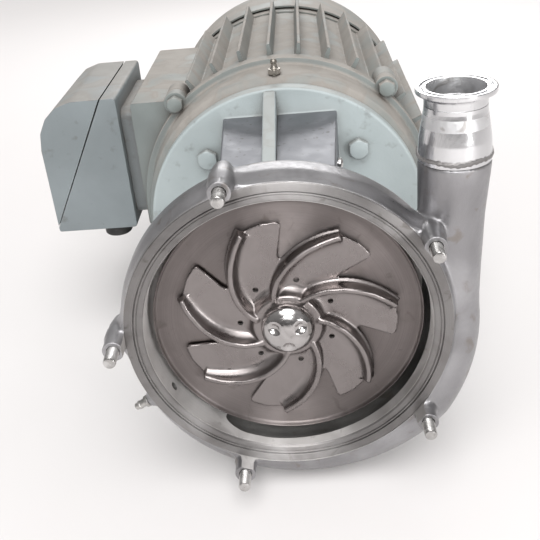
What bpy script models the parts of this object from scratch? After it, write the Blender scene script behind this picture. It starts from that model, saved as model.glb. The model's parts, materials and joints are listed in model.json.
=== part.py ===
"""Close-coupled centrifugal pump with its front cover taken off, on a foot-mounted electric motor.

Every sub-part is an object of its own. Lengths are in metres and +Z is up. The pieces are laid out
from the shaft: x to the discharge side, y from the open face back to the motor's fan, z up. They all
hang on one empty, which carries that layout to the place where the box round the feet has its centre
at the origin.
"""
import math

import bmesh
import bpy
from mathutils import Vector

# Driving dimensions. Radii are about the shaft unless a name says otherwise.
GAP = 0.0003
ROUND = 32
SHAFT_HEIGHT = 0.1778
BOWL_RADIUS = 0.127
RIM_FRONT = -0.0060
RIM_RADIUS = 0.1495
RIM_BACK_RADIUS = 0.1485
BOWL_FLOOR = 0.030
CASING_BACK = 0.041
THROAT_RADIUS = 0.096
STUD_COUNT = 5
STUD_CIRCLE = 0.1515
STUD_START = math.radians(34.4)
STUD_RADIUS = 0.0057
STUD_TIP = -0.040
STUD_END = -0.0050
LUG_RADIUS = 0.0096
LUG_FACE = -0.0225

TUBE_X = 0.1475
TUBE_Y = 0.032
TUBE_RADIUS = 0.0302
TUBE_LOW_RADIUS = 0.0272
TUBE_WALL = 0.0036
TUBE_TOP = 0.1397
NECK_RADIUS = 0.0254
NECK_BORE = 0.02375
FERRULE_RADIUS = 0.03225
FERRULE_TOP = 0.200
REDUCER_TOP = 0.1857
VOLUTE_START = math.radians(-165)
VOLUTE_WIDEST = math.radians(-37)
VOLUTE_INNER = 0.118
VOLUTE_FRONT = -0.0048
VOLUTE_START_FRONT = 0.0035
DRAIN_ANGLE = math.radians(208.8)

VANES = 7
VANE_TIP_RADIUS = 0.098
VANE_ROOT_RADIUS = 0.033
VANE_SWEEP = math.radians(50)
VANE_START = math.radians(6.5)
VANE_THICKNESS = 0.0045
SHROUD_FRONT = 0.0175
SHROUD_BACK = 0.0205
HUB_RADIUS = 0.031
HUB_FACE = 0.008
NUT_RADIUS = 0.0240
SHAFT_RADIUS = 0.019
BORE_RADIUS = 0.014

FLANGE_FRONT = 0.225
FLANGE_BACK = 0.241
FLANGE_RADIUS = 0.152
FLANGE_BOLT_CIRCLE = 0.1143
NECK_HALF_WIDTH = 0.058
NECK_FRONT_HALF_WIDTH = 0.050
NECK_FRONT = 0.054
RIB_CENTRE = -0.009
RIB_HALF_WIDTH = 0.0065
GUARD_SHEET = 0.0015
GUARD_BOTTOM = -0.088
GUARD_SCREW_Y = 0.150
GUARD_SCREW_Z = 0.0945

BELL_FRONT = FLANGE_BACK + GAP
BELL_BACK = 0.298
BELL_RADIUS = 0.168
BELL_BOLT_CIRCLE = 0.172
FRAME_FRONT = BELL_BACK + GAP
FRAME_BACK = 0.540
FRAME_BORE = 0.150
FRAME_RADIUS = 0.162
FIN_RADIUS = 0.180
PAD_X = -0.172
REAR_BELL_BACK = 0.575
FAN_COVER_BACK = 0.675
GREASE_X = -0.003
GREASE_Y = 0.254
STATOR_FRONT = 0.335
STATOR_BACK = 0.500
ROTOR_RADIUS = 0.0994

BOX_LEFT = -0.282
BOX_RIGHT = -0.186
BOX_FRONT = 0.290
BOX_BACK = 0.456
BOX_BOTTOM = -0.025
BOX_TOP = 0.135
BOX_WALL = 0.0035
SCREW_HEAD = 0.003
SEAM_TOP = -0.203
SEAM_BOTTOM = BOX_BOTTOM + 0.006
PLUG_X = -0.214
PLUG_Y = 0.310

# The origin is under the middle of the whole object, on the surface that the feet stand on.
AXIS_X = -(BOX_LEFT - SCREW_HEAD + TUBE_X + FERRULE_RADIUS) / 2
FACE_Y = -(STUD_TIP + FAN_COVER_BACK) / 2

PAINT = ("paint_grey_green", (0.42, 0.49, 0.47), 0.55, 0.0)
STEEL_CAST = ("stainless_cast", (0.48, 0.48, 0.50), 0.45, 1.0)
STEEL_POLISHED = ("stainless_polished", (0.62, 0.60, 0.60), 0.2, 1.0)
STEEL_PLAIN = ("steel_plain", (0.50, 0.50, 0.50), 0.4, 1.0)
RUBBER = ("rubber_black", (0.03, 0.03, 0.03), 0.8, 0.0)
CARBON = ("carbon_seal", (0.08, 0.08, 0.085), 0.5, 0.0)
CERAMIC = ("ceramic_seal", (0.80, 0.78, 0.72), 0.3, 0.0)
COPPER = ("copper_winding", (0.60, 0.28, 0.12), 0.5, 0.6)
IRON = ("laminated_iron", (0.20, 0.20, 0.21), 0.6, 0.8)
ALUMINIUM = ("cast_aluminium", (0.60, 0.61, 0.62), 0.5, 0.9)


def clear_scene():
    for obj in list(bpy.data.objects):
        bpy.data.objects.remove(obj, do_unlink=True)


def material(finish):
    name, colour, roughness, metallic = finish
    found = bpy.data.materials.get(name)
    if found:
        return found
    made = bpy.data.materials.new(name)
    made.use_nodes = True
    shader = made.node_tree.nodes["Principled BSDF"]
    shader.inputs["Base Color"].default_value = (*colour, 1.0)
    shader.inputs["Roughness"].default_value = roughness
    shader.inputs["Metallic"].default_value = metallic
    return made


def add_object(name, bm, finish, sharp_angle=35):
    """Turn a bmesh into a named object that hangs on the layout empty."""
    bmesh.ops.recalc_face_normals(bm, faces=bm.faces)
    mesh = bpy.data.meshes.new(name)
    bm.to_mesh(mesh)
    bm.free()
    mesh.shade_smooth()
    mesh.set_sharp_from_angle(angle=math.radians(sharp_angle))
    obj = bpy.data.objects.new(name, mesh)
    bpy.context.collection.objects.link(obj)
    obj.parent = LAYOUT
    if finish:
        mesh.materials.append(material(finish))
    else:
        obj.hide_render = True
        obj.display_type = "WIRE"
    return obj


def boolean(target, tool, operation):
    modifier = target.modifiers.new(tool.name, "BOOLEAN")
    modifier.object = tool
    modifier.operation = operation
    modifier.solver = "EXACT"


def polar(radius, angle):
    return radius * math.cos(angle), radius * math.sin(angle)


def arc(centre_r, centre_y, radius, start, end, steps):
    """Points of a turned profile along an arc; angles in degrees, 0 outward and 90 to the back."""
    points = []
    for step in range(steps + 1):
        angle = math.radians(start + (end - start) * step / steps)
        points.append((centre_r + radius * math.cos(angle), centre_y + radius * math.sin(angle)))
    return points


def turned(profile, segments=32, ring=False, hexed=(), centre=(0.0, 0.0)):
    """Turn (radius, y) points about a line along y. A ring's profile closes on itself; any other
    starts and ends on the line. Profile points listed in hexed get a hexagon instead of a circle."""
    bm = bmesh.new()
    loops = []
    for index, (radius, y) in enumerate(profile):
        if radius < 1e-7:
            loops.append([bm.verts.new((centre[0], y, centre[1]))])
            continue
        loop = []
        for step in range(segments):
            angle = 2 * math.pi * step / segments
            reach = radius
            if index in hexed:
                reach = radius / math.cos((angle + math.pi / 6) % (math.pi / 3) - math.pi / 6)
            x, z = polar(reach, angle)
            loop.append(bm.verts.new((centre[0] + x, y, centre[1] + z)))
        loops.append(loop)
    pairs = list(zip(loops, loops[1:]))
    if ring:
        pairs.append((loops[-1], loops[0]))
    for first, second in pairs:
        for step in range(segments):
            following = (step + 1) % segments
            if len(first) == 1:
                bm.faces.new((first[0], second[step], second[following]))
            elif len(second) == 1:
                bm.faces.new((first[step], second[0], first[following]))
            else:
                bm.faces.new((first[step], second[step], second[following], first[following]))
    return bm


def swept(sections):
    """Join equal loops of points into one closed solid with flat ends."""
    bm = bmesh.new()
    loops = [[bm.verts.new(point) for point in section] for section in sections]
    count = len(loops[0])
    for first, second in zip(loops, loops[1:]):
        for step in range(count):
            following = (step + 1) % count
            bm.faces.new((first[step], second[step], second[following], first[following]))
    bm.faces.new(loops[0])
    bm.faces.new(loops[-1])
    return bm


def prism(outline, low, high, along="Y"):
    """A flat outline pushed out along an axis. The outline is (x, z), (y, z) or (x, y)."""
    place = {
        "Y": lambda a, b, depth: (a, depth, b),
        "X": lambda a, b, depth: (depth, a, b),
        "Z": lambda a, b, depth: (a, b, depth),
    }[along]
    return swept([[place(a, b, depth) for a, b in outline] for depth in (low, high)])


def box(low, high):
    outline = [(low[0], low[2]), (high[0], low[2]), (high[0], high[2]), (low[0], high[2])]
    return prism(outline, low[1], high[1])


def gather(parts):
    """Put several separate shapes in one bmesh."""
    whole = bmesh.new()
    for part in parts:
        mesh = bpy.data.meshes.new("gathered")
        part.to_mesh(mesh)
        part.free()
        whole.from_mesh(mesh)
        bpy.data.meshes.remove(mesh)
    return whole


def rod(radius, low, high, centre=(0.0, 0.0), segments=16):
    return turned([(0, low), (radius, low), (radius, high), (0, high)], segments, centre=centre)


def stand_up(obj, x, y, z=0.0):
    """Turn a piece made along y so that it points up, with its axis at x, y."""
    obj.rotation_euler = (math.pi / 2, 0, 0)
    obj.location = (x, y, z)


# ---- pump casing -------------------------------------------------------------------------------

def casing_profile():
    """The rim's machined steps, the rounded shoulder, the rounded back and the bowl."""
    front = [
        (BOWL_RADIUS, -0.0025), (0.1285, -0.0045), (0.1345, -0.0052), (0.1345, -0.0040),
        (0.1360, -0.0040), (0.1365, RIM_FRONT), (0.1438, RIM_FRONT), (0.1446, RIM_FRONT + 0.0010),
    ]
    shoulder = [(0.1458, 0.0), (0.1482, 0.0060), (RIM_RADIUS, 0.0120)]
    back = arc(RIM_BACK_RADIUS - 0.014, 0.022, 0.014, 0, 90, 3)
    inside = [(0.118, CASING_BACK), (THROAT_RADIUS, CASING_BACK),
              (THROAT_RADIUS, BOWL_FLOOR), (BOWL_RADIUS, BOWL_FLOOR)]
    return front + shoulder + back + inside


def volute_section(angle, wall, sides):
    """One section of the channel that winds round the bowl and grows towards the discharge."""
    if angle < VOLUTE_WIDEST:
        growth = (angle - VOLUTE_START) / (VOLUTE_WIDEST - VOLUTE_START)
        outer_edge = 0.150 + 0.033 * growth ** 0.75
        front = VOLUTE_START_FRONT + (VOLUTE_FRONT - VOLUTE_START_FRONT) * min(1.0, 2 * growth)
    else:
        turned_back = 1 - angle / VOLUTE_WIDEST
        outer_edge = 0.183 - (0.183 - VOLUTE_INNER - 2 * TUBE_LOW_RADIUS) * turned_back
        front = VOLUTE_FRONT + (TUBE_Y - TUBE_LOW_RADIUS - VOLUTE_FRONT) * turned_back
    half = (outer_edge - VOLUTE_INNER) / 2
    loop = []
    for step in range(sides):
        turn = 2 * math.pi * step / sides
        reach = VOLUTE_INNER + half + (half - wall) * math.cos(turn)
        x, z = polar(reach, angle)
        loop.append((x, front + half + (half - wall) * math.sin(turn), z))
    return loop


def tube_section(radius, z, wall, sides):
    loop = []
    for step in range(sides):
        x, y = polar(radius - wall, 2 * math.pi * step / sides)
        loop.append((TUBE_X - TUBE_RADIUS + radius + x, TUBE_Y + y, z))
    return loop


def discharge_path(wall, first, top, sides=12, steps=11):
    """The volute channel and the tube above it, which widens to its full size at the top."""
    sections = [volute_section(first * (1 - step / steps), wall, sides) for step in range(steps + 1)]
    for radius, z in ((0.0275, 0.040), (0.0283, 0.091), (TUBE_RADIUS, 0.135), (TUBE_RADIUS, top)):
        sections.append(tube_section(radius, z, wall, sides))
    return swept(sections)


def stud_places():
    return [STUD_START + 2 * math.pi * index / STUD_COUNT for index in range(STUD_COUNT)]


def lug_web(angle):
    """The wedge that blends a stud lug into the rim on both sides."""
    across = Vector((-math.sin(angle), math.cos(angle)))
    out = Vector((math.cos(angle), math.sin(angle)))
    corners = ((0.1400, -0.020), (0.1535, -0.0085), (0.1535, 0.0085), (0.1400, 0.020))
    return prism([tuple(out * radius + across * side) for radius, side in corners], RIM_FRONT + 0.0006, 0.026)


def casing_screw_places():
    return [polar(0.104, math.radians(45 + 90 * index)) for index in range(4)]


def make_casing():
    casing = add_object("casing", turned(casing_profile(), ROUND, ring=True), STEEL_CAST)
    channel = add_object("channel_outside", discharge_path(0.0, VOLUTE_START, TUBE_TOP), None)
    boolean(casing, channel, "UNION")
    lugs = []
    for angle in stud_places():
        profile = [(0, LUG_FACE), (LUG_RADIUS - 0.0012, LUG_FACE), (LUG_RADIUS, LUG_FACE + 0.0012),
                   (LUG_RADIUS, 0.0302), (0, 0.0302)]
        lugs.append(turned(profile, 10, centre=polar(STUD_CIRCLE, angle)))
    boolean(casing, add_object("lug_barrels", gather(lugs), None), "UNION")
    webs = gather([lug_web(angle) for angle in stud_places()])
    boolean(casing, add_object("lug_webs", webs, None), "UNION")
    boss = add_object("drain_boss", rod(0.0072, 0.140, 0.156, segments=12), None)
    point_out(boss, DRAIN_ANGLE, 0.012)
    boolean(casing, boss, "UNION")
    bowl = turned([(0, -0.012), (BOWL_RADIUS, -0.012), (BOWL_RADIUS, BOWL_FLOOR),
                   (THROAT_RADIUS, BOWL_FLOOR), (THROAT_RADIUS, 0.070), (0, 0.070)], ROUND)
    boolean(casing, add_object("bowl_space", bowl, None), "DIFFERENCE")
    channel = discharge_path(TUBE_WALL, VOLUTE_START * 0.93, TUBE_TOP + 0.010)
    boolean(casing, add_object("channel_space", channel, None), "DIFFERENCE")
    holes = [rod(STUD_RADIUS + 2 * GAP, LUG_FACE - 0.005, STUD_END + GAP, polar(STUD_CIRCLE, angle), 8)
             for angle in stud_places()]
    holes += [rod(0.0045, 0.032, 0.045, place, 8) for place in casing_screw_places()]
    boolean(casing, add_object("stud_holes", gather(holes), None), "DIFFERENCE")
    drain = add_object("drain_hole", rod(0.0039, 0.1215, 0.160, segments=10), None)
    point_out(drain, DRAIN_ANGLE, 0.012)
    boolean(casing, drain, "DIFFERENCE")


def point_out(obj, angle, y):
    """Turn a piece made along y so that it points away from the shaft at this angle."""
    direction = Vector((math.cos(angle), 0, math.sin(angle)))
    obj.rotation_mode = "QUATERNION"
    obj.rotation_quaternion = Vector((0, 1, 0)).rotation_difference(direction)
    obj.location = (0, y, 0)


def make_discharge():
    reducer = turned([
        (TUBE_RADIUS - 0.003, 0.1400), (TUBE_RADIUS, 0.1400), (TUBE_RADIUS, 0.1440),
        (0.0297, 0.1452), (0.0292, 0.1580), (NECK_RADIUS + 0.0004, 0.1810), (NECK_RADIUS, REDUCER_TOP),
        (NECK_BORE, REDUCER_TOP), (TUBE_RADIUS - 0.003, 0.1570),
    ], 20, ring=True)
    stand_up(add_object("discharge_reducer", reducer, STEEL_POLISHED), TUBE_X, TUBE_Y)
    ferrule = turned([
        (NECK_BORE, REDUCER_TOP + GAP), (NECK_RADIUS, REDUCER_TOP + GAP), (NECK_RADIUS, 0.1925),
        (0.0268, 0.1938), (FERRULE_RADIUS, 0.1958), (FERRULE_RADIUS, FERRULE_TOP), (0.0295, FERRULE_TOP),
        (0.0290, FERRULE_TOP - 0.0015), (0.0272, FERRULE_TOP - 0.0015), (0.0267, FERRULE_TOP),
        (NECK_BORE, FERRULE_TOP),
    ], 20, ring=True)
    stand_up(add_object("discharge_ferrule", ferrule, STEEL_POLISHED), TUBE_X, TUBE_Y)


def make_studs():
    for index, angle in enumerate(stud_places()):
        profile = [(0, STUD_TIP), (STUD_RADIUS * 0.80, STUD_TIP), (STUD_RADIUS, STUD_TIP + 0.0022),
                   (STUD_RADIUS, STUD_END), (0, STUD_END)]
        stud = add_object(f"cover_stud_{index + 1}", turned(profile, 10), STEEL_PLAIN)
        x, z = polar(STUD_CIRCLE, angle)
        stud.location = (x, 0, z)


def make_drain_plug():
    profile = [(0, 0.132), (0.0036, 0.132), (0.0036, 0.1563), (0.0058, 0.1563), (0.0058, 0.1600),
               (0.0040, 0.1604), (0.0040, 0.1720), (0, 0.1720)]
    plug = add_object("drain_plug", turned(profile, 10), STEEL_PLAIN)
    point_out(plug, DRAIN_ANGLE, 0.012)


def make_back_plate():
    edge = arc(0.1175, 0.026, 0.004, -90, 0, 2)
    profile = [(0.027, 0.022)] + edge + [
        (0.1215, BOWL_FLOOR - GAP), (0.115, BOWL_FLOOR - GAP), (0.115, 0.0263), (0.1096, 0.0263),
        (0.1096, BOWL_FLOOR - GAP), (THROAT_RADIUS - 0.0005, BOWL_FLOOR - GAP),
        (THROAT_RADIUS - 0.0005, 0.037), (0.040, 0.037), (0.040, 0.046), (0.027, 0.046),
    ]
    add_object("back_plate", turned(profile, 28, ring=True), STEEL_POLISHED)
    ring = turned(arc(0.1123, 0.02815, 0.0015, 0, 288, 4), 28, ring=True)
    add_object("casing_oring", ring, RUBBER)


# ---- rotating pump parts -----------------------------------------------------------------------

def vane_angle(index, radius):
    tip = VANE_START + 2 * math.pi * index / VANES
    share = (VANE_TIP_RADIUS - radius) / (VANE_TIP_RADIUS - VANE_ROOT_RADIUS)
    return tip + VANE_SWEEP * share


def vane_front(radius):
    """How far forward the vane reaches: full height in the middle, lower at the root and the tip."""
    middle = 0.060
    if radius < middle:
        return 0.0035 + 0.0030 * ((middle - radius) / (middle - 0.027)) ** 2
    return 0.0035 + 0.0060 * ((radius - middle) / (VANE_TIP_RADIUS - middle)) ** 2


def make_vane(index):
    steps = 7
    sections = []
    for step in range(steps + 1):
        radius = 0.027 + (VANE_TIP_RADIUS - 0.027) * step / steps
        x, z = polar(radius, vane_angle(index, radius))
        ahead = Vector(polar(radius + 0.001, vane_angle(index, radius + 0.001)))
        run = (ahead - Vector((x, z))).normalized()
        half = Vector((-run.y, run.x)) * VANE_THICKNESS / 2
        narrow = 0.75
        front = vane_front(radius)
        back = SHROUD_BACK - 0.001
        sections.append([
            (x - half.x, back, z - half.y), (x + half.x, back, z + half.y),
            (x + half.x * narrow, front, z + half.y * narrow),
            (x - half.x * narrow, front, z - half.y * narrow),
        ])
    return swept(sections)


def shroud_outline():
    """The back shroud: a web on one side of each vane, and a scallop on the other."""
    points = []
    margin = 0.0032
    for index in reversed(range(VANES)):
        tip = VANE_START + 2 * math.pi * index / VANES
        for degrees, radius in ((1.2, 0.0975), (-10, 0.0995), (-20, 0.0990), (-16, 0.068)):
            points.append(polar(radius, tip + math.radians(degrees)))
        for radius, extra in ((0.0600, 3), (0.0605, 0), (0.068, 0), (0.078, 0), (0.088, 0)):
            turn = margin / radius + math.radians(extra)
            points.append(polar(radius, vane_angle(index - 1, radius) + turn))
    return points


def make_impeller():
    hub = [(0, SHROUD_BACK - 0.0004), (HUB_RADIUS + 0.005, SHROUD_BACK - 0.0004),
           (HUB_RADIUS + 0.003, 0.0165), (HUB_RADIUS, 0.0130), (HUB_RADIUS - 0.001, HUB_FACE + 0.001),
           (HUB_RADIUS - 0.003, HUB_FACE), (0, HUB_FACE)]
    impeller = add_object("impeller", turned(hub, 24), STEEL_POLISHED)
    shroud = prism(shroud_outline(), SHROUD_FRONT, SHROUD_BACK)
    boolean(impeller, add_object("shroud_solid", shroud, None), "UNION")
    vanes = gather([make_vane(index) for index in range(VANES)])
    boolean(impeller, add_object("vane_solids", vanes, None), "UNION")
    rear = add_object("rear_boss", rod(SHAFT_RADIUS, 0.019, 0.028, segments=20), None)
    boolean(impeller, rear, "UNION")
    cuts = [rod(BORE_RADIUS + GAP, 0.0, 0.035, segments=20)]
    cuts += [rod(0.0026, 0.010, 0.025, polar(0.043, vane_angle(index, 0.043) - 0.42), 8)
             for index in range(VANES)]
    boolean(impeller, add_object("impeller_bore", gather(cuts), None), "DIFFERENCE")
    keyway = box((-0.0028, 0.0, 0.012), (0.0028, 0.035, 0.0168))
    boolean(impeller, add_object("impeller_keyway", keyway, None), "DIFFERENCE")
    add_object("impeller_key", box((-0.0025, 0.012, 0.0115), (0.0025, 0.024, 0.0165)), STEEL_PLAIN)


def make_impeller_nut():
    base = HUB_FACE - GAP
    depth = 0.0165
    dome = [(0.0, base - depth)]
    for step in range(1, 4):
        angle = math.pi / 2 * step / 4
        dome.append((NUT_RADIUS * math.sin(angle), base - depth + depth * (1 - math.cos(angle)) * 0.86))
    dome += [(NUT_RADIUS, base - 0.0022), (NUT_RADIUS - 0.0006, base), (0.0177, base),
             (0.0177, base - 0.0026), (0.0143, base - 0.0026), (0.0143, base), (0.0093, base),
             (0.0093, base - 0.0116), (0, base - 0.0116)]
    nut = add_object("impeller_nut", turned(dome, 20), STEEL_POLISHED)
    dimples = []
    for index in range(3):
        x, z = polar(0.0130, math.radians(150 - 120 * index))
        dimples.append(turned(arc(0, -0.0100, 0.0068, -90, 90, 4), 8, centre=(x, z)))
    boolean(nut, add_object("nut_dimples", gather(dimples), None), "DIFFERENCE")
    ring = turned(arc(0.0160, base - 0.0013, 0.0009, 0, 288, 4), 16, ring=True)
    add_object("nut_oring", ring, RUBBER)


def make_shafts():
    stub = add_object("stub_shaft", turned([
        (0, -0.0035), (0.0090, -0.0035), (0.0090, 0.0082), (BORE_RADIUS, 0.0082),
        (BORE_RADIUS, 0.0283), (SHAFT_RADIUS, 0.0283), (SHAFT_RADIUS, 0.150), (0.036, 0.156),
        (0.036, 0.220), (0.0244, 0.220), (0.0244, 0.160), (0, 0.160),
    ], 20), STEEL_PLAIN)
    keyway = box((-0.0028, 0.0117, 0.0112), (0.0028, 0.0243, 0.020))
    boolean(stub, add_object("stub_keyway", keyway, None), "DIFFERENCE")
    add_object("motor_shaft", turned([
        (0, 0.1605), (0.0238, 0.1605), (0.0238, 0.2440), (0.0250, 0.2440),
        (0.0250, 0.2743), (0.0300, 0.2743), (0.0300, 0.5150), (0.0250, 0.5150), (0.0197, 0.5200),
        (0.0197, 0.5720), (0.0170, 0.5720), (0.0170, 0.6220), (0, 0.6220),
    ], 16), STEEL_PLAIN)


def make_seal():
    add_object("seal_seat", turned([
        (0.0205, 0.024), (0.0267, 0.024), (0.0267, 0.034), (0.0205, 0.034)], 20, ring=True), CERAMIC)
    inner = SHAFT_RADIUS + GAP
    add_object("seal_ring", turned([
        (inner, 0.0343), (0.0235, 0.0343), (0.0235, 0.0365), (0.0250, 0.0365), (0.0250, 0.042),
        (inner, 0.042)], 20, ring=True), CARBON)
    turns = 2.5
    wire = 0.0012
    low = 0.0438
    high = 0.0583
    sections = []
    steps = 22
    for step in range(steps + 1):
        angle = 2 * math.pi * turns * step / steps
        centre_y = low + (high - low) * step / steps
        loop = []
        for side in range(5):
            turn = 2 * math.pi * side / 5
            x, z = polar(0.0225 + wire * math.cos(turn), angle)
            loop.append((x, centre_y + wire * math.sin(turn), z))
        sections.append(loop)
    add_object("seal_spring", swept(sections), STEEL_PLAIN)
    add_object("seal_collar", turned([
        (inner, 0.060), (0.0270, 0.060), (0.0270, 0.072), (inner, 0.072)], 20, ring=True), STEEL_PLAIN)
    add_object("slinger", turned([
        (inner, 0.116), (0.0245, 0.116), (0.0245, 0.121), (0.048, 0.1235), (0.048, 0.1260),
        (0.0245, 0.1260), (0.0245, 0.130), (inner, 0.130)], 20, ring=True), RUBBER)


# ---- adapter -----------------------------------------------------------------------------------

def neck_side(y, side):
    """Where the neck's flat side lies at this distance from the face; it widens to the motor."""
    share = (y - NECK_FRONT) / (FLANGE_FRONT - NECK_FRONT)
    half = NECK_FRONT_HALF_WIDTH + (NECK_HALF_WIDTH - NECK_FRONT_HALF_WIDTH) * share
    return side * half - 0.002 * (1 - share)


def neck_section(y, inset):
    """The neck's outline in the plane y; it grows taller towards the motor."""
    share = (y - NECK_FRONT) / (FLANGE_FRONT - NECK_FRONT)
    left = neck_side(y, -1) + inset
    right = neck_side(y, 1) - inset
    top = neck_top(y) - inset
    bottom = -0.100 - 0.018 * share + inset
    return [(left, y, bottom), (right, y, bottom), (right, y, top), (left, y, top)]


def adapter_bolt_places():
    return [polar(FLANGE_BOLT_CIRCLE, math.radians(45 + 90 * index)) for index in range(4)]


def make_adapter():
    disc = [(0.046, FLANGE_FRONT), (FLANGE_RADIUS - 0.002, FLANGE_FRONT),
            (FLANGE_RADIUS, FLANGE_FRONT + 0.002), (FLANGE_RADIUS, FLANGE_BACK), (0.046, FLANGE_BACK)]
    adapter = add_object("adapter", turned(disc, 36, ring=True), PAINT)
    front = CASING_BACK + GAP
    ring = turned([(0.062, front), (0.112, front), (0.112, NECK_FRONT), (0.062, NECK_FRONT)], 28, ring=True)
    neck = swept([neck_section(NECK_FRONT - 0.001, 0.0), neck_section(FLANGE_FRONT + 0.002, 0.0)])
    boolean(adapter, add_object("neck_solid", neck, None), "UNION")
    boolean(adapter, add_object("front_ring", ring, None), "UNION")
    slope = [(0.092, 0.110), (0.232, 0.110), (0.232, 0.149), (0.2235, 0.149), (0.092, 0.119)]
    rib = prism(slope, RIB_CENTRE - RIB_HALF_WIDTH, RIB_CENTRE + RIB_HALF_WIDTH, "X")
    low_rib = prism([(y, -z) for y, z in slope], RIB_CENTRE - RIB_HALF_WIDTH, RIB_CENTRE + RIB_HALF_WIDTH, "X")
    boolean(adapter, add_object("ribs", gather([rib, low_rib]), None), "UNION")
    wall = 0.009
    cavity = swept([neck_section(NECK_FRONT - 0.003, wall), neck_section(FLANGE_FRONT - 0.004, wall)])
    boolean(adapter, add_object("neck_space", cavity, None), "DIFFERENCE")
    window = box((-0.080, 0.072, -0.078), (0.080, 0.208, 0.088))
    boolean(adapter, add_object("neck_window", window, None), "DIFFERENCE")
    bores = [rod(0.062, 0.030, 0.066, segments=28), rod(0.046, 0.2, 0.25, segments=24)]
    bores += [rod(0.0070, 0.215, 0.250, place, 8) for place in adapter_bolt_places()]
    bores += [rod(0.0045, 0.035, 0.060, place, 8) for place in casing_screw_places()]
    guard_holes = [polar_at(GUARD_SCREW_Y, GUARD_SCREW_Z, 0.0034, index, 8) for index in range(8)]
    bores.append(prism(guard_holes, -0.070, 0.070, "X"))
    boolean(adapter, add_object("adapter_holes", gather(bores), None), "DIFFERENCE")


def hex_bolt(name, head_flat, head_height, shank, length, finish):
    """A hex-head bolt whose head sits on the plane y = 0 and whose shank runs to +y."""
    flat = head_flat / 2
    profile = [(0, -head_height), (flat, -head_height), (flat, 0), (shank, 0), (shank, length), (0, length)]
    return add_object(name, turned(profile, 6, hexed=(1, 2)), finish)


def make_adapter_fasteners():
    for index, (x, z) in enumerate(adapter_bolt_places()):
        bolt = hex_bolt(f"adapter_bolt_{index + 1}", 0.0200, 0.0085, 0.0063, 0.030, PAINT)
        bolt.location = (x, FLANGE_FRONT - GAP, z)
    for index, (x, z) in enumerate(casing_screw_places()):
        screw = hex_bolt(f"casing_screw_{index + 1}", 0.0130, 0.0055, 0.0040, 0.0215, STEEL_PLAIN)
        screw.rotation_euler = (0, 0, math.pi)
        screw.location = (x, NECK_FRONT + GAP, z)


def neck_top(y):
    return 0.112 + 0.010 * (y - NECK_FRONT) / (FLANGE_FRONT - NECK_FRONT)


def guard_section(y, side):
    """A bent sheet: down the neck's side, and over its top as far as the rib."""
    near = neck_side(y, side) + side * GAP
    far = near + side * GUARD_SHEET
    under = neck_top(y) + GAP
    over = under + GUARD_SHEET
    rib_side = RIB_CENTRE + side * (RIB_HALF_WIDTH + GAP)
    outline = [(near, GUARD_BOTTOM), (far, GUARD_BOTTOM), (far, over), (rib_side, over), (rib_side, under),
               (near, under)]
    return [(x, y, z) for x, z in outline]


def make_guards():
    for name, side in (("left", -1), ("right", 1)):
        guard = add_object(f"guard_{name}", swept([guard_section(y, side) for y in (0.064, 0.2235)]), STEEL_PLAIN)
        cuts = []
        for index in range(6):
            y = 0.086 + 0.020 * index
            slot = [(y, -0.060), (y + 0.008, -0.060), (y + 0.008, 0.066), (y, 0.066)]
            cuts.append(prism(slot, side * 0.045, side * 0.070, "X"))
        hole = [polar_at(GUARD_SCREW_Y, GUARD_SCREW_Z, 0.0036, index, 8) for index in range(8)]
        cuts.append(prism(hole, side * 0.045, side * 0.070, "X"))
        boolean(guard, add_object(f"guard_cuts_{name}", gather(cuts), None), "DIFFERENCE")
        seat = abs(neck_side(GUARD_SCREW_Y, side)) + GUARD_SHEET + 3 * GAP
        screw = add_object(f"guard_screw_{name}", turned([
            (0, seat - 0.0100), (0.0028, seat - 0.0100), (0.0028, seat), (0.0055, seat),
            (0.0055, seat + 0.0035), (0.0040, seat + 0.0048), (0, seat + 0.0048)], 10), STEEL_PLAIN)
        screw.rotation_euler = (0, 0, -side * math.pi / 2)
        screw.location = (0, GUARD_SCREW_Y, GUARD_SCREW_Z)


# ---- motor -------------------------------------------------------------------------------------

def bell_bolt_places():
    return [polar(BELL_BOLT_CIRCLE, math.radians(degrees)) for degrees in (47, 133, 227, 313)]


def make_front_bell():
    profile = [
        (0.032, BELL_FRONT), (0.149, BELL_FRONT), (0.158, 0.250), (0.1605, 0.2835),
        (BELL_RADIUS, 0.2845), (BELL_RADIUS, BELL_BACK), (0.149, BELL_BACK), (0.149, 0.276), (0.132, 0.264),
        (0.056, 0.264), (0.056, 0.276), (0.0457, 0.276), (0.0457, 0.252), (0.032, 0.252),
    ]
    bell = add_object("front_end_bell", turned(profile, ROUND, ring=True), PAINT)
    lugs = [turned([(0, 0.284), (0.0130, 0.284), (0.0130, BELL_BACK - 0.0005),
                    (0, BELL_BACK - 0.0005)], 12, centre=place) for place in bell_bolt_places()]
    boolean(bell, add_object("bell_lugs", gather(lugs), None), "UNION")
    holes = [rod(0.0070, 0.230, 0.258, place, 8) for place in adapter_bolt_places()]
    holes += [rod(0.0056, 0.275, 0.310, place, 8) for place in bell_bolt_places()]
    boolean(bell, add_object("bell_holes", gather(holes), None), "DIFFERENCE")
    for index, (x, z) in enumerate(bell_bolt_places()):
        bolt = hex_bolt(f"bell_bolt_{index + 1}", 0.0170, 0.0075, 0.0050, 0.034, PAINT)
        bolt.location = (x, 0.284 - GAP, z)
    well = add_object("grease_hole", rod(0.0045, 0.145, 0.175, segments=8), None)
    stand_up(well, GREASE_X, GREASE_Y)
    boolean(bell, well, "DIFFERENCE")
    profile = [(0, 0.148), (0.0038, 0.148), (0.0038, 0.1593), (0.0065, 0.1593), (0.0065, 0.1645),
               (0.0034, 0.1655), (0.0030, 0.1695), (0.0036, 0.1715), (0.0020, 0.1750), (0, 0.1750)]
    fitting = add_object("grease_fitting", turned(profile, 12, hexed=(3, 4)), STEEL_PLAIN)
    stand_up(fitting, GREASE_X, GREASE_Y)


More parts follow.
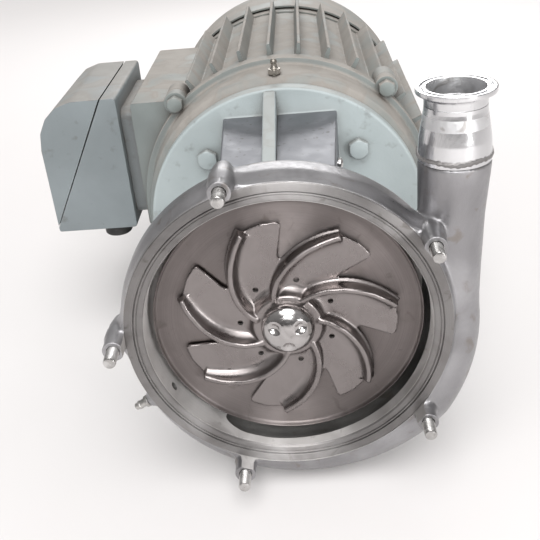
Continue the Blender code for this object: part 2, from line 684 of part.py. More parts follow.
def bearing(name, y, inner, outer, width, finish):
    """Outer race, inner race, and the balls joined by their cage, each with its own clearance."""
    wall = (outer - inner) * 0.28
    low = y
    high = y + width
    add_object(name + "_outer_race", turned([
        (outer - wall, low), (outer, low), (outer, high), (outer - wall, high)], 20, ring=True), finish)
    add_object(name + "_inner_race", turned([
        (inner, low), (inner + wall, low), (inner + wall, high), (inner, high)], 20, ring=True), finish)
    middle = (inner + outer) / 2
    ball = (outer - inner) / 2 - wall - 3 * GAP
    sections = []
    balls = 8
    per_ball = 4
    bulge = (1.0, 0.72, 0.42, 0.72)
    for step in range(balls * per_ball):
        angle = 2 * math.pi * step / (balls * per_ball)
        reach = ball * bulge[step % per_ball]
        loop = []
        for side in range(4):
            turn = 2 * math.pi * side / 4
            x, z = polar(middle + reach * math.cos(turn), angle)
            loop.append((x, y + width / 2 + reach * math.sin(turn), z))
        sections.append(loop)
    add_object(name + "_balls", closed_sweep(sections), finish)


def closed_sweep(sections):
    bm = bmesh.new()
    loops = [[bm.verts.new(point) for point in section] for section in sections]
    count = len(loops[0])
    for index, first in enumerate(loops):
        second = loops[(index + 1) % len(loops)]
        for step in range(count):
            following = (step + 1) % count
            bm.faces.new((first[step], second[step], second[following], first[following]))
    return bm


def frame_outline():
    """The motor frame seen from the front: fins, the pad for the conduit box, and two feet."""
    points = []
    count = 20
    pitch = math.radians(216) / count
    half = 0.0023
    for index in range(count):
        angle = math.radians(-42) + pitch * (index + 0.5)
        if angle > math.radians(136):
            break
        for radius, side in ((FRAME_RADIUS, -1.4), (FIN_RADIUS, -0.8), (FIN_RADIUS, 0.8), (FRAME_RADIUS, 1.4)):
            points.append(polar(radius, angle + side * half / radius))
    pad_top = 0.125
    points.append((-math.sqrt(FRAME_RADIUS ** 2 - pad_top ** 2), pad_top))
    points += [(PAD_X, pad_top), (PAD_X, BOX_BOTTOM), (-0.158, -0.036)]
    left = [(-0.134, -0.0915), (-0.136, -0.160), (-0.166, -0.164), (-0.168, -SHAFT_HEIGHT),
            (-0.104, -SHAFT_HEIGHT), (-0.104, -0.160), (-0.120, -0.156), (-0.118, -0.111)]
    points += left
    for step in range(1, 8):
        points.append(polar(FRAME_RADIUS, math.radians(226 + 88 * step / 8)))
    points += [(-x, z) for x, z in reversed(left)]
    return points


def make_frame():
    frame = add_object("motor_frame", prism(frame_outline(), FRAME_FRONT, FRAME_BACK), PAINT, 25)
    bore = rod(FRAME_BORE, FRAME_FRONT - 0.010, FRAME_BACK + 0.010, segments=32)
    boolean(frame, add_object("frame_bore", bore, None), "DIFFERENCE")
    lugs = [rod(0.0130, FRAME_FRONT + 0.0005, FRAME_FRONT + 0.030, place, 10) for place in bell_bolt_places()]
    boolean(frame, add_object("frame_lugs", gather(lugs), None), "UNION")
    holes = [rod(0.0056, FRAME_FRONT - 0.010, FRAME_FRONT + 0.024, place, 8) for place in bell_bolt_places()]
    boolean(frame, add_object("frame_bolt_holes", gather(holes), None), "DIFFERENCE")
    feet = []
    for x in (-0.152, 0.152):
        for y in (FRAME_FRONT + 0.030, FRAME_BACK - 0.030):
            feet.append(rod(0.0060, -0.190, -0.150, (x, -y), 8))
    foot_holes = add_object("foot_holes", gather(feet), None)
    foot_holes.rotation_euler = (math.pi / 2, 0, 0)
    boolean(frame, foot_holes, "DIFFERENCE")


def slotted_circle(inner, slot_depth, slots, slot_width):
    """Outline of a ring's inner edge with square slots."""
    inside = []
    for index in range(slots):
        angle = 2 * math.pi * index / slots
        half = slot_width / 2 / inner
        half_deep = slot_width / 2 / (inner + slot_depth)
        inside += [polar(inner, angle - half), polar(inner + slot_depth, angle - half_deep),
                   polar(inner + slot_depth, angle + half_deep), polar(inner, angle + half)]
        for step in (1, 2, 3):
            inside.append(polar(inner, angle + 2 * math.pi / slots * step / 4))
    return inside


def make_stator():
    core = add_object("stator_core", turned([
        (0.100, STATOR_FRONT), (FRAME_BORE - GAP, STATOR_FRONT), (FRAME_BORE - GAP, STATOR_BACK),
        (0.100, STATOR_BACK)], 32, ring=True), IRON)
    slots = 6
    notch = slotted_circle(0.0995, 0.0205, slots, 0.0126)
    boolean(core, add_object("stator_slots", prism(notch, 0.30, 0.53), None), "DIFFERENCE")
    front = STATOR_FRONT - GAP
    back = STATOR_BACK + GAP
    winding = turned([(0.104, 0.309), (0.136, 0.309), (0.138, 0.314), (0.138, front),
                      (0.104, front)], 20, ring=True)
    winding = add_object("stator_winding", winding, COPPER)
    rear = turned([(0.104, back), (0.138, back), (0.138, 0.520), (0.136, 0.525), (0.104, 0.525)], 20, ring=True)
    boolean(winding, add_object("rear_coils", rear, None), "UNION")
    bars = []
    for index in range(slots):
        angle = 2 * math.pi * index / slots
        out = Vector((math.cos(angle), math.sin(angle)))
        across = Vector((-out.y, out.x)) * 0.0058
        corners = [out * 0.1045 - across, out * 0.1190 - across, out * 0.1190 + across, out * 0.1045 + across]
        bars.append(prism([tuple(corner) for corner in corners], 0.325, 0.510))
    boolean(winding, add_object("slot_bars", gather(bars), None), "UNION")


def make_rotor():
    shaft = 0.0308
    add_object("rotor", turned([
        (shaft, STATOR_FRONT), (0.068, STATOR_FRONT), (0.068, 0.324), (0.094, 0.324), (0.094, STATOR_FRONT),
        (ROTOR_RADIUS, STATOR_FRONT), (ROTOR_RADIUS, STATOR_BACK), (0.094, STATOR_BACK), (0.094, 0.511),
        (0.068, 0.511), (0.068, STATOR_BACK), (shaft, STATOR_BACK)], 20, ring=True), ALUMINIUM)


def make_rear_bell():
    low = FRAME_BACK + GAP
    add_object("rear_end_bell", turned([
        (0.024, 0.572), (0.060, 0.572), (0.150, 0.563), (0.158, REAR_BELL_BACK), (0.1645, REAR_BELL_BACK),
        (0.1645, low), (0.148, low), (0.146, 0.553), (0.052, 0.560), (0.052, 0.545), (0.0408, 0.545),
        (0.0408, 0.5655), (0.024, 0.5655)], 24, ring=True), PAINT)


def make_fan():
    fan = add_object("cooling_fan", turned([
        (0.0176, 0.588), (0.030, 0.588), (0.034, 0.594), (0.120, 0.594), (0.120, 0.598), (0.036, 0.598),
        (0.030, 0.618), (0.0176, 0.618)], 20, ring=True), ALUMINIUM)
    blades = []
    for index in range(8):
        angle = 2 * math.pi * index / 8
        out = Vector((math.cos(angle), math.sin(angle)))
        across = Vector((-out.y, out.x)) * 0.0020
        corners = [out * 0.040 - across, out * 0.119 - across, out * 0.119 + across, out * 0.040 + across]
        blades.append(prism([tuple(corner) for corner in corners], 0.597, 0.632))
    boolean(fan, add_object("fan_blades", gather(blades), None), "UNION")


def make_fan_cover():
    low = REAR_BELL_BACK - 0.022
    wall = 0.0025
    outside = 0.1690
    profile = [(outside, low)] + arc(outside - 0.030, 0.645, 0.030, 0, 90, 3) + [
        (0.020, FAN_COVER_BACK), (0.020, FAN_COVER_BACK - wall)]
    profile += arc(outside - 0.030, 0.645, 0.0275, 90, 0, 3)
    profile += [(outside - wall, low)]
    cover = add_object("fan_cover", turned(profile, 28, ring=True), PAINT)
    slots = []
    for index in range(8):
        angle = 2 * math.pi * (index + 0.5) / 8
        out = Vector((math.cos(angle), math.sin(angle)))
        side = Vector((-out.y, out.x))
        for near, far, half in ((0.036, 0.074, 0.0080), (0.084, 0.128, 0.0190)):
            corners = [out * near - side * half, out * far - side * half, out * far + side * half,
                       out * near + side * half]
            slots.append(prism([tuple(corner) for corner in corners], 0.665, 0.685))
    boolean(cover, add_object("cover_slots", gather(slots), None), "DIFFERENCE")


# ---- conduit box -------------------------------------------------------------------------------

def make_conduit_box():
    lean = Vector((BOX_LEFT - SEAM_TOP, SEAM_BOTTOM - BOX_TOP)).normalized()
    shift = Vector((-lean.y, lean.x)) * -GAP
    base = [(BOX_RIGHT, BOX_BOTTOM), (BOX_RIGHT, BOX_TOP - 0.004), (BOX_RIGHT - 0.004, BOX_TOP),
            (SEAM_TOP, BOX_TOP), (BOX_LEFT, SEAM_BOTTOM), (BOX_LEFT, BOX_BOTTOM + 0.004),
            (BOX_LEFT + 0.004, BOX_BOTTOM)]
    body = add_object("conduit_box", prism(base, BOX_FRONT, BOX_BACK), PAINT)
    collar = box((BOX_RIGHT - 0.002, 0.305, -0.014), (PAD_X - GAP, 0.440, 0.116))
    boolean(body, add_object("box_collar", collar, None), "UNION")
    wall = BOX_WALL
    room = [(BOX_RIGHT - wall, BOX_BOTTOM + wall), (BOX_RIGHT - wall, BOX_TOP - wall),
            (BOX_LEFT + wall, BOX_TOP - wall), (BOX_LEFT + wall, BOX_BOTTOM + wall)]
    space = prism(room, BOX_FRONT + wall, BOX_BACK - wall)
    boolean(body, add_object("box_space", space, None), "DIFFERENCE")
    lead = prism([polar_at(0.373, 0.055, 0.018, index, 14) for index in range(14)], -0.200, -0.165, "X")
    boolean(body, add_object("lead_hole", lead, None), "DIFFERENCE")
    entry = add_object("entry_hole", rod(0.0123, -0.035, -0.015, segments=14), None)
    stand_up(entry, PLUG_X, PLUG_Y)
    boolean(body, entry, "DIFFERENCE")

    lid = [(BOX_LEFT, SEAM_BOTTOM), (SEAM_TOP, BOX_TOP)]
    lid = [tuple(Vector(point) + shift) for point in lid]
    lid[1] = (lid[1][0] - 0.0003, BOX_TOP)
    outline = lid + [(-0.238, BOX_TOP), (-0.256, 0.129), (-0.270, 0.117), (-0.279, 0.100),
                     (BOX_LEFT, 0.080), (BOX_LEFT, lid[0][1] + 0.0006)]
    outline[0] = (lid[0][0] + 0.0003, lid[0][1] + 0.0008)
    cover = add_object("conduit_cover", prism(outline, BOX_FRONT, BOX_BACK), PAINT)
    inner = [(BOX_LEFT + wall, BOX_BOTTOM - 0.010), (-0.150, BOX_BOTTOM - 0.010), (-0.150, BOX_TOP - wall),
             (-0.240, BOX_TOP - wall), (-0.258, 0.123), (-0.272, 0.104), (BOX_LEFT + wall, 0.080)]
    space = prism(inner, BOX_FRONT + wall, BOX_BACK - wall)
    boolean(cover, add_object("cover_space", space, None), "DIFFERENCE")
    holes = []
    for y in (BOX_FRONT + 0.030, BOX_BACK - 0.030):
        ring = [polar_at(y, 0.020, 0.0027, index, 8) for index in range(8)]
        holes.append(prism(ring, BOX_LEFT - 0.006, BOX_LEFT + 0.010, "X"))
    boolean(cover, add_object("cover_screw_holes", gather(holes), None), "DIFFERENCE")
    for index, y in enumerate((BOX_FRONT + 0.030, BOX_BACK - 0.030)):
        screw = add_object(f"cover_screw_{index + 1}", turned([
            (0, -SCREW_HEAD), (0.0045, -SCREW_HEAD), (0.0045, -GAP), (0.0024, -GAP),
            (0.0024, 0.010), (0, 0.010)], 8), STEEL_PLAIN)
        screw.rotation_euler = (0, 0, -math.pi / 2)
        screw.location = (BOX_LEFT, y, 0.020)
    plug = add_object("entry_plug", turned([
        (0, -0.0380), (0.0140, -0.0380), (0.0165, -0.0350), (0.0165, -0.0253), (0.0120, -0.0253),
        (0.0120, -0.0170), (0, -0.0170)], 14), RUBBER)
    stand_up(plug, PLUG_X, PLUG_Y)


def polar_at(a, b, radius, index, count):
    """A point of a circle about (a, b), for an outline."""
    x, z = polar(radius, 2 * math.pi * index / count)
    return a + x, b + z


def main():
    make_casing()
    make_discharge()
    make_studs()
    make_drain_plug()
    make_back_plate()
    make_impeller()
    make_impeller_nut()
    make_shafts()
    make_seal()
    make_adapter()
    make_adapter_fasteners()
    make_guards()
    make_front_bell()
    bearing("front_bearing", 0.2525, 0.0256, 0.0450, 0.0200, STEEL_PLAIN)
    bearing("rear_bearing", 0.5470, 0.0203, 0.0400, 0.0180, STEEL_PLAIN)
    make_frame()
    make_stator()
    make_rotor()
    make_rear_bell()
    make_fan()
    make_fan_cover()
    make_conduit_box()


clear_scene()
LAYOUT = bpy.data.objects.new("layout", None)
LAYOUT.location = (AXIS_X, FACE_Y, SHAFT_HEIGHT)
bpy.context.collection.objects.link(LAYOUT)
main()
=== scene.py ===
"""Looks of the open centrifugal pump and its motor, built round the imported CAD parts.

Every piece is made in the pump's own layout: x to the discharge side, y from the open face back to
the fan, z up, all from the point where the shaft crosses the plane of the open face.
"""
import json
from math import cos, hypot, pi, radians, sin, sqrt, tan

import bmesh
import bpy
import numpy as np
from mathutils import Matrix, Vector


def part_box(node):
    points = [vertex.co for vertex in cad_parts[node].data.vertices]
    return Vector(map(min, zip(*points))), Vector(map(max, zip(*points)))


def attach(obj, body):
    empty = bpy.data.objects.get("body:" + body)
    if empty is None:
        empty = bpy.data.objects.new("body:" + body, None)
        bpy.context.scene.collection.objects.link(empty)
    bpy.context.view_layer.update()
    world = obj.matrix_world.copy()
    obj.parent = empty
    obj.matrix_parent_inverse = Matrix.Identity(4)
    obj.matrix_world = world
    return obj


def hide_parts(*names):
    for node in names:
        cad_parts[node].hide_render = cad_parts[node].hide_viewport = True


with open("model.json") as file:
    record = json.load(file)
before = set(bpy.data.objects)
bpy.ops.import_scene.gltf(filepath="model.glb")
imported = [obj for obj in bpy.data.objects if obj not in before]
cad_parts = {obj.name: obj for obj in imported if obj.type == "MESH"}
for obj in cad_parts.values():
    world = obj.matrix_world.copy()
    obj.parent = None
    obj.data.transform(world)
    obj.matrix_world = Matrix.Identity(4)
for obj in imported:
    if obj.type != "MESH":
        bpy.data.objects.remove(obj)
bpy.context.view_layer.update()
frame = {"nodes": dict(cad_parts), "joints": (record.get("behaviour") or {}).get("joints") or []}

# ---- sizes shared with the CAD, in metres ---------------------------------------------------------

LUG_FACE = -0.0225
SHAFT_AT = frame["joints"][0]["pos_m"]
ORIGIN = Vector((SHAFT_AT[0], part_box("casing")[0].y - LUG_FACE, SHAFT_AT[2]))
PUMP = "pump_body"
SHAFT = "shaft_assembly"

BOWL_RADIUS = 0.127
BOWL_FLOOR = 0.030
THROAT_RADIUS = 0.096
CASING_BACK = 0.041
RIM_RADIUS = 0.1493

STUD_ANGLES = [radians(34.4 + 72 * index) for index in range(5)]
STUD_CIRCLE = 0.1515
STUD_RADIUS = 0.0057
STUD_TIP = -0.040
LUG_RADIUS = 0.0096

TUBE_X = 0.1475
TUBE_Y = 0.032
TUBE_RADIUS = 0.0302
TUBE_LOW_RADIUS = 0.0272
TUBE_WALL = 0.0036
TUBE_TOP = 0.1397
NECK_BORE = 0.02375
FERRULE_RADIUS = 0.03225
REDUCER_TOP = 0.1857
VOLUTE_START = radians(-165)
VOLUTE_WIDEST = radians(-37)
VOLUTE_INNER = 0.118
DRAIN_ANGLE = radians(208.8)
DRAIN_Y = 0.012

VANES = 7
VANE_TIP_RADIUS = 0.098
VANE_ROOT_RADIUS = 0.033
VANE_SWEEP = radians(50)
VANE_START = radians(6.5)
SHROUD_FRONT = 0.0175
SHROUD_BACK = 0.0205
HUB_FACE = 0.008
NUT_RADIUS = 0.0240

FLANGE_FRONT = 0.225
FLANGE_BACK = 0.241
FLANGE_RADIUS = 0.152
ADAPTER_BOLT_CIRCLE = 0.1143
CASING_SCREW_CIRCLE = 0.104
QUARTERS = [radians(45 + 90 * index) for index in range(4)]
NECK_FRONT = 0.054
RIB_X = -0.009
BELL_BOLT_CIRCLE = 0.172
BELL_BOLT_ANGLES = [radians(degrees) for degrees in (47, 133, 227, 313)]
GREASE_AT = (-0.003, 0.254)
FRAME_FRONT = 0.2983
FRAME_BACK = 0.540
FRAME_RADIUS = 0.162
BOX_LEFT = -0.282
BOX_FRONT = 0.290
BOX_BACK = 0.456
LID_SCREW_ROWS = (BOX_FRONT + 0.030, BOX_BACK - 0.030)
LID_SCREW_Z = 0.020
PLUG_AT = (-0.214, 0.310)
GUARD_SHEET = 0.0015
GUARD_SCREW_AT = (0.150, 0.0945)
GAP = 0.0003
CAMERA_AT = (0.031134, -0.606202, 0.396967)


# ---- mesh helpers ---------------------------------------------------------------------------------

def polar(radius, angle):
    return radius * cos(angle), radius * sin(angle)


def smoothstep(low, high, value):
    share = np.clip((value - low) / (high - low), 0.0, 1.0)
    return share * share * (3 - 2 * share)


def rounded(points, radius, steps=3, closed=False):
    """Round the corners of a flat outline. A radius is one number, or a number for each point."""
    radii = radius if isinstance(radius, (list, tuple)) else [radius] * len(points)
    made = []
    count = len(points)
    for index, point in enumerate(points):
        here = Vector(point)
        if radii[index] <= 0 or (not closed and index in (0, count - 1)):
            made.append(tuple(here))
            continue
        before = Vector(points[index - 1]) - here
        after = Vector(points[(index + 1) % count]) - here
        turn = before.angle(after)
        if turn > radians(176):
            made.append(tuple(here))
            continue
        back = min(radii[index] / tan(turn / 2), before.length * 0.48, after.length * 0.48)
        start = here + before.normalized() * back
        end = here + after.normalized() * back
        for step in range(steps + 1):
            share = step / steps
            bend = start * (1 - share) ** 2 + here * 2 * share * (1 - share) + end * share ** 2
            made.append(tuple(bend))
    return made


def surface(rows, close_rows=False):
    """A mesh through rows of points. A row of one point is a pole."""
    bm = bmesh.new()
    loops = [[bm.verts.new(point) for point in row] for row in rows]
    pairs = list(zip(loops, loops[1:]))
    if close_rows:
        pairs.append((loops[-1], loops[0]))
    for first, second in pairs:
        count = max(len(first), len(second))
        for step in range(count):
            following = (step + 1) % count
            if len(first) == 1:
                bm.faces.new((first[0], second[following], second[step]))
            elif len(second) == 1:
                bm.faces.new((first[step], first[following], second[0]))
            else:
                bm.faces.new((first[step], first[following], second[following], second[step]))
    bmesh.ops.recalc_face_normals(bm, faces=bm.faces)
    return bm


def turned(profile, segments=96, ring=False, centre=(0.0, 0.0), hex_rows=(), flat=0.0):
    """Turn (radius, y) points about a line along y. The points listed in hex_rows are kept inside a
    hexagon with this distance to its flats."""
    rows = []
    for index, (radius, y) in enumerate(profile):
        if radius < 1e-7:
            rows.append([(centre[0], y, centre[1])])
            continue
        row = []
        for step in range(segments):
            angle = 2 * pi * step / segments
            reach = radius
            if index in hex_rows:
                reach = min(radius, flat / cos((angle + pi / 6) % (pi / 3) - pi / 6))
            row.append((centre[0] + reach * cos(angle), y, centre[1] + reach * sin(angle)))
        rows.append(row)
    return surface(rows, close_rows=ring)


def capped(sections):
    """A loft through equal loops, with flat ends."""
    bm = surface(sections)
    bm.verts.ensure_lookup_table()
    count = len(sections[0])
    bm.faces.new([bm.verts[index] for index in range(count)])
    bm.faces.new([bm.verts[-1 - index] for index in range(count)])
    bmesh.ops.recalc_face_normals(bm, faces=bm.faces)
    return bm


def prism(outline, low, high, along="Y"):
    """A flat outline pushed out along an axis. The outline is (x, z), (y, z) or (x, y)."""
    place = {
        "Y": lambda a, b, depth: (a, depth, b),
        "X": lambda a, b, depth: (depth, a, b),
        "Z": lambda a, b, depth: (a, b, depth),
    }[along]
    return capped([[place(a, b, depth) for a, b in outline] for depth in (low, high)])


def gather(parts):
    whole = bmesh.new()
    for part in parts:
        mesh = bpy.data.meshes.new("gathered")
        part.to_mesh(mesh)
        part.free()
        whole.from_mesh(mesh)
        bpy.data.meshes.remove(mesh)
    return whole


def placed(bm, matrix):
    bmesh.ops.transform(bm, matrix=matrix, verts=bm.verts)
    return bm


def rod(radius, near, far, segments=24, centre=(0.0, 0.0)):
    """A plain round bar along y."""
    return turned([(0, near), (radius, near), (radius, far), (0, far)], segments, centre=centre)


def ring_of(centre, radius, count):
    """Points round a circle in a flat outline."""
    return [(centre[0] + radius * cos(2 * pi * step / count),
             centre[1] + radius * sin(2 * pi * step / count)) for step in range(count)]


def upright(x, y):
    """Stands a shape made along y on end: its y becomes z."""
    return Matrix.Translation((x, y, 0)) @ Matrix.Rotation(pi / 2, 4, "X")


def outward(angle, y):
    """Turns a shape made along y so that it points away from the shaft."""
    return Matrix.Translation((0, y, 0)) @ Matrix.Rotation(angle - pi / 2, 4, (0, -1, 0)) @ (
        Matrix.Rotation(pi / 2, 4, "X"))


def holder(name, bm, look=None):
    mesh = bpy.data.meshes.new(name)
    bm.to_mesh(mesh)
    bm.free()
    obj = bpy.data.objects.new(name, mesh)
    bpy.context.scene.collection.objects.link(obj)
    if look:
        mesh.materials.append(look)
    return obj


def bake_modifiers(obj):
    graph = bpy.context.evaluated_depsgraph_get()
    made = bpy.data.meshes.new_from_object(obj.evaluated_get(graph), depsgraph=graph)
    obj.modifiers.clear()
    obj.data = made


def combine(obj, bm, operation, look=None):
    """Exact union or difference with another shape, whose faces keep their own look."""
    tool = holder("tool", bm, look)
    modifier = obj.modifiers.new("combine", "BOOLEAN")
    modifier.object = tool
    modifier.operation = operation
    modifier.solver = "EXACT"
    modifier.material_mode = "TRANSFER"
    bake_modifiers(obj)
    bpy.data.objects.remove(tool, do_unlink=True)


def cast_together(obj, voxel, smoothing):
    """Merge overlapping shapes into one skin with soft inner corners, as a casting has."""
    look = obj.data.materials[0] if obj.data.materials else None
    remesh = obj.modifiers.new("merge", "REMESH")
    remesh.mode = "VOXEL"
    remesh.voxel_size = voxel
    smooth = obj.modifiers.new("soften", "SMOOTH")
    smooth.factor = 0.5
    smooth.iterations = smoothing
    bake_modifiers(obj)
    obj.data.materials.clear()
    if look:
        obj.data.materials.append(look)


def bevel(obj, width, segments=2, angle=30):
    modifier = obj.modifiers.new("edges", "BEVEL")
    modifier.width = width
    modifier.segments = segments
    modifier.limit_method = "ANGLE"
    modifier.angle_limit = radians(angle)
    bake_modifiers(obj)


def fit(obj, body, nodes, sharp=32):
    """Shade the piece, put it in the layout and hand it to its CAD body."""
    obj.data.shade_smooth()
    obj.data.set_sharp_from_angle(angle=radians(sharp))
    obj.location = ORIGIN
    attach(obj, body)
    if nodes:
        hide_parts(*nodes)
    return obj


def piece(name, bm, look, body, nodes, sharp=32):
    return fit(holder(name, bm, look), body, nodes, sharp)


# ---- finishes -------------------------------------------------------------------------------------

class Finish:
    """One procedural material, put together node by node."""

    def __init__(self, name, metallic, roughness):
        self.material = bpy.data.materials.new(name)
        self.material.use_nodes = True
        self.nodes = self.material.node_tree.nodes
        self.links = self.material.node_tree.links
        self.shader = self.nodes["Principled BSDF"]
        self.shader.inputs["Metallic"].default_value = metallic
        self.shader.inputs["Roughness"].default_value = roughness
        self.place = self.nodes.new("ShaderNodeTexCoord").outputs["Object"]
        self.geometry = self.nodes.new("ShaderNodeNewGeometry")
        self.relief = None

    def join(self, value, socket):
        if isinstance(value, tuple) and socket.type == "RGBA":
            socket.default_value = (*value, 1.0)
        elif isinstance(value, (int, float, tuple)):
            socket.default_value = value
        else:
            self.links.new(value, socket)

    def add(self, kind, **values):
        """A new node with these numbers, colours or links on its sockets."""
        node = self.nodes.new("ShaderNode" + kind)
        for name, value in values.items():
            self.join(value, node.inputs[name.replace("_", " ")])
        return node

    def noise(self, scale, detail=4.0, distortion=0.0, place=None, rough=0.5):
        return self.add("TexNoise", Scale=scale, Detail=detail, Roughness=rough, Distortion=distortion,
                        Vector=place or self.place).outputs["Fac"]

    def stretch(self, scale, turn=(0.0, 0.0, 0.0)):
        return self.add("Mapping", Scale=scale, Rotation=turn, Vector=self.place).outputs["Vector"]

    def sums(self, operation, first, second=0.0):
        node = self.nodes.new("ShaderNodeMath")
        node.operation = operation
        self.join(first, node.inputs[0])
        self.join(second, node.inputs[1])
        return node.outputs[0]

    def times(self, first, second):
        return self.sums("MULTIPLY", first, second)

    def plus(self, first, second):
        return self.sums("ADD", first, second)

    def span(self, value, low, high, to_low=0.0, to_high=1.0):
        node = self.add("MapRange", Value=value, From_Min=low, From_Max=high, To_Min=to_low, To_Max=to_high)
        node.interpolation_type = "SMOOTHSTEP"
        return node.outputs["Result"]

    def blend(self, share, first, second):
        node = self.nodes.new("ShaderNodeMix")
        node.data_type = "RGBA"
        self.join(share, node.inputs["Factor"])
        self.join(first, node.inputs["A"])
        self.join(second, node.inputs["B"])
        return node.outputs["Result"]

    def split(self, vector):
        return self.add("SeparateXYZ", Vector=vector).outputs

    def upward(self):
        return self.split(self.geometry.outputs["Normal"])[2]

    def edges(self, radius):
        """How far the surface normal turns within a short reach: 0 on flats, more on edges."""
        node = self.add("Bevel", Radius=radius)
        node.samples = 3
        dot = self.add("VectorMath")
        dot.operation = "DOT_PRODUCT"
        self.links.new(node.outputs[0], dot.inputs[0])
        self.links.new(self.geometry.outputs["Normal"], dot.inputs[1])
        return self.sums("SUBTRACT", 1.0, dot.outputs["Value"])

    def corners(self, reach):
        """1 in the open, towards 0 in deep corners."""
        node = self.add("AmbientOcclusion", Distance=reach)
        node.samples = 3
        return node.outputs["AO"]

    def bump(self, height, distance, strength=1.0):
        node = self.add("Bump", Distance=distance, Strength=strength, Height=height)
        if self.relief:
            self.links.new(self.relief, node.inputs["Normal"])
        self.relief = node.outputs["Normal"]
        self.links.new(self.relief, self.shader.inputs["Normal"])

    def colour(self, value):
        self.join(value, self.shader.inputs["Base Color"])

    def roughness(self, value):
        self.join(value, self.shader.inputs["Roughness"])


DUST = (0.285, 0.262, 0.235)
# Grime colour: noise lays it as dirt, and the corner mask in paint() lays it as painted shade in corners.
GRIME = (0.085, 0.070, 0.058)


def paint(name, colour, shade, dust_from, dusty=1.0):
    """Enamel on a casting or a sheet: orange peel, settled dust, painted shade in corners, worn edges."""
    made = Finish(name, 0.0, 0.45)
    patches = made.noise(9.0, 5.0, 0.4)
    base = made.blend(made.span(patches, 0.35, 0.68), colour, shade)
    base = made.blend(made.span(made.noise(70.0, 6.0), 0.60, 0.74, 0.0, 0.35), base, GRIME)
    tides = made.noise(24.0, 7.0, 0.7)
    lying = made.span(made.upward(), dust_from, dust_from + 0.55)
    cover = made.times(lying, made.span(tides, 0.30, 0.56, 0.35, dusty))
    rim = made.times(made.span(tides, 0.44, 0.50), made.span(tides, 0.56, 0.50))
    base = made.blend(cover, base, made.blend(made.noise(45.0, 5.0), DUST, (0.37, 0.35, 0.325)))
    base = made.blend(made.times(made.times(rim, lying), 0.12), base, (0.17, 0.12, 0.085))
    # Painted shade: the enamel darkens towards deep corners and recesses, where shade falls.
    base = made.blend(made.span(made.corners(0.018), 0.30, 0.85, 0.75, 0.0), base, GRIME)
    worn = made.times(made.span(made.edges(0.0016), 0.05, 0.16),
                      made.span(made.noise(110.0, 4.0), 0.48, 0.60))
    base = made.blend(made.times(worn, 0.75), base, (0.13, 0.10, 0.085))
    made.colour(base)
    made.roughness(made.plus(made.span(patches, 0.3, 0.7, 0.34, 0.46), made.times(cover, 0.35)))
    made.bump(made.noise(420.0, 3.0), 0.00012)
    made.bump(made.noise(60.0, 3.0), 0.0004, 0.5)
    return made.material


def cast_steel(name, light, dark, rough, grain=0.00016, stain=0.5):
    """A pickled stainless casting: fine sand grain, cloudy tone, brown water marks."""
    made = Finish(name, 0.88, rough)
    clouds = made.noise(16.0, 6.0, 0.6)
    base = made.blend(made.span(clouds, 0.32, 0.68), dark, light)
    marks = made.noise(38.0, 7.0, 1.4)
    base = made.blend(made.span(marks, 0.57, 0.72, 0.0, stain), base, (0.20, 0.165, 0.135))
    # Painted shade: the colour darkens into corners and hollows, where shade falls.
    base = made.blend(made.span(made.corners(0.006), 0.20, 0.70, 0.55, 0.0), base, (0.07, 0.065, 0.06))
    # Painted highlight: the colour is lighter along every edge.
    lit = made.span(made.edges(0.0012), 0.03, 0.14, 0.0, 0.6)
    base = made.blend(lit, base, (0.62, 0.61, 0.60))
    made.colour(base)
    made.roughness(made.plus(made.span(clouds, 0.3, 0.7, rough - 0.05, rough + 0.08),
                             made.span(made.noise(240.0, 5.0), 0.3, 0.7, -0.05, 0.05)))
    made.bump(made.noise(900.0, 4.0), grain)
    made.bump(made.noise(130.0, 4.0), 0.0005, 0.5)
    return made.material


def turned_steel(name, light, dark, rough, marks=0.00005, brushed=0.75):
    """Machined or buffed in a lathe: fine rings round the shaft line."""
    made = Finish(name, 1.0, rough)
    x, y, z = made.split(made.place)
    radius = made.sums("SQRT", made.plus(made.times(x, x), made.times(z, z)))
    rings = made.noise(1700.0, 3.0, 0.0, made.add("CombineXYZ", X=radius, Y=y).outputs[0], 0.6)
    clouds = made.noise(22.0, 6.0, 0.8)
    base = made.blend(made.span(clouds, 0.30, 0.70), dark, light)
    base = made.blend(made.span(made.noise(55.0, 7.0, 1.0), 0.60, 0.76, 0.0, 0.5), base, GRIME)
    base = made.blend(made.span(rings, 0.35, 0.75, 0.0, 0.25), base, dark)
    made.colour(base)
    made.roughness(made.plus(made.span(clouds, 0.3, 0.7, rough - 0.04, rough + 0.06),
                             made.span(rings, 0.3, 0.7, -0.05, 0.06)))
    made.bump(rings, marks)
    made.bump(made.noise(45.0, 3.0), 0.0006, 0.25)
    around = made.add("CombineXYZ", X=made.times(z, -1.0), Z=x)
    made.links.new(around.outputs[0], made.shader.inputs["Tangent"])
    made.shader.inputs["Anisotropic"].default_value = brushed
    made.shader.inputs["Anisotropic Rotation"].default_value = 0.25
    return made.material


def polished_steel(name, light, dark, rough, waves=0.0016, stain=0.5):
    """Hand-polished castings: wavy reflections, wear smears and small scratches."""
    made = Finish(name, 1.0, rough)
    clouds = made.noise(28.0, 6.0, 1.0)
    base = made.blend(made.span(clouds, 0.32, 0.66), dark, light)
    base = made.blend(made.span(made.noise(75.0, 6.0, 0.8), 0.58, 0.74, 0.0, stain), base, GRIME)
    made.colour(base)
    scratch = made.noise(260.0, 3.0, 0.0, made.stretch((1.0, 6.0, 0.35), (0.4, 0.9, 0.2)))
    made.roughness(made.plus(made.span(clouds, 0.3, 0.7, rough - 0.05, rough + 0.08),
                             made.span(scratch, 0.4, 0.7, -0.03, 0.07)))
    made.bump(made.noise(60.0, 3.0, 0.3), waves, 0.6)
    made.bump(scratch, 0.00004)
    return made.material


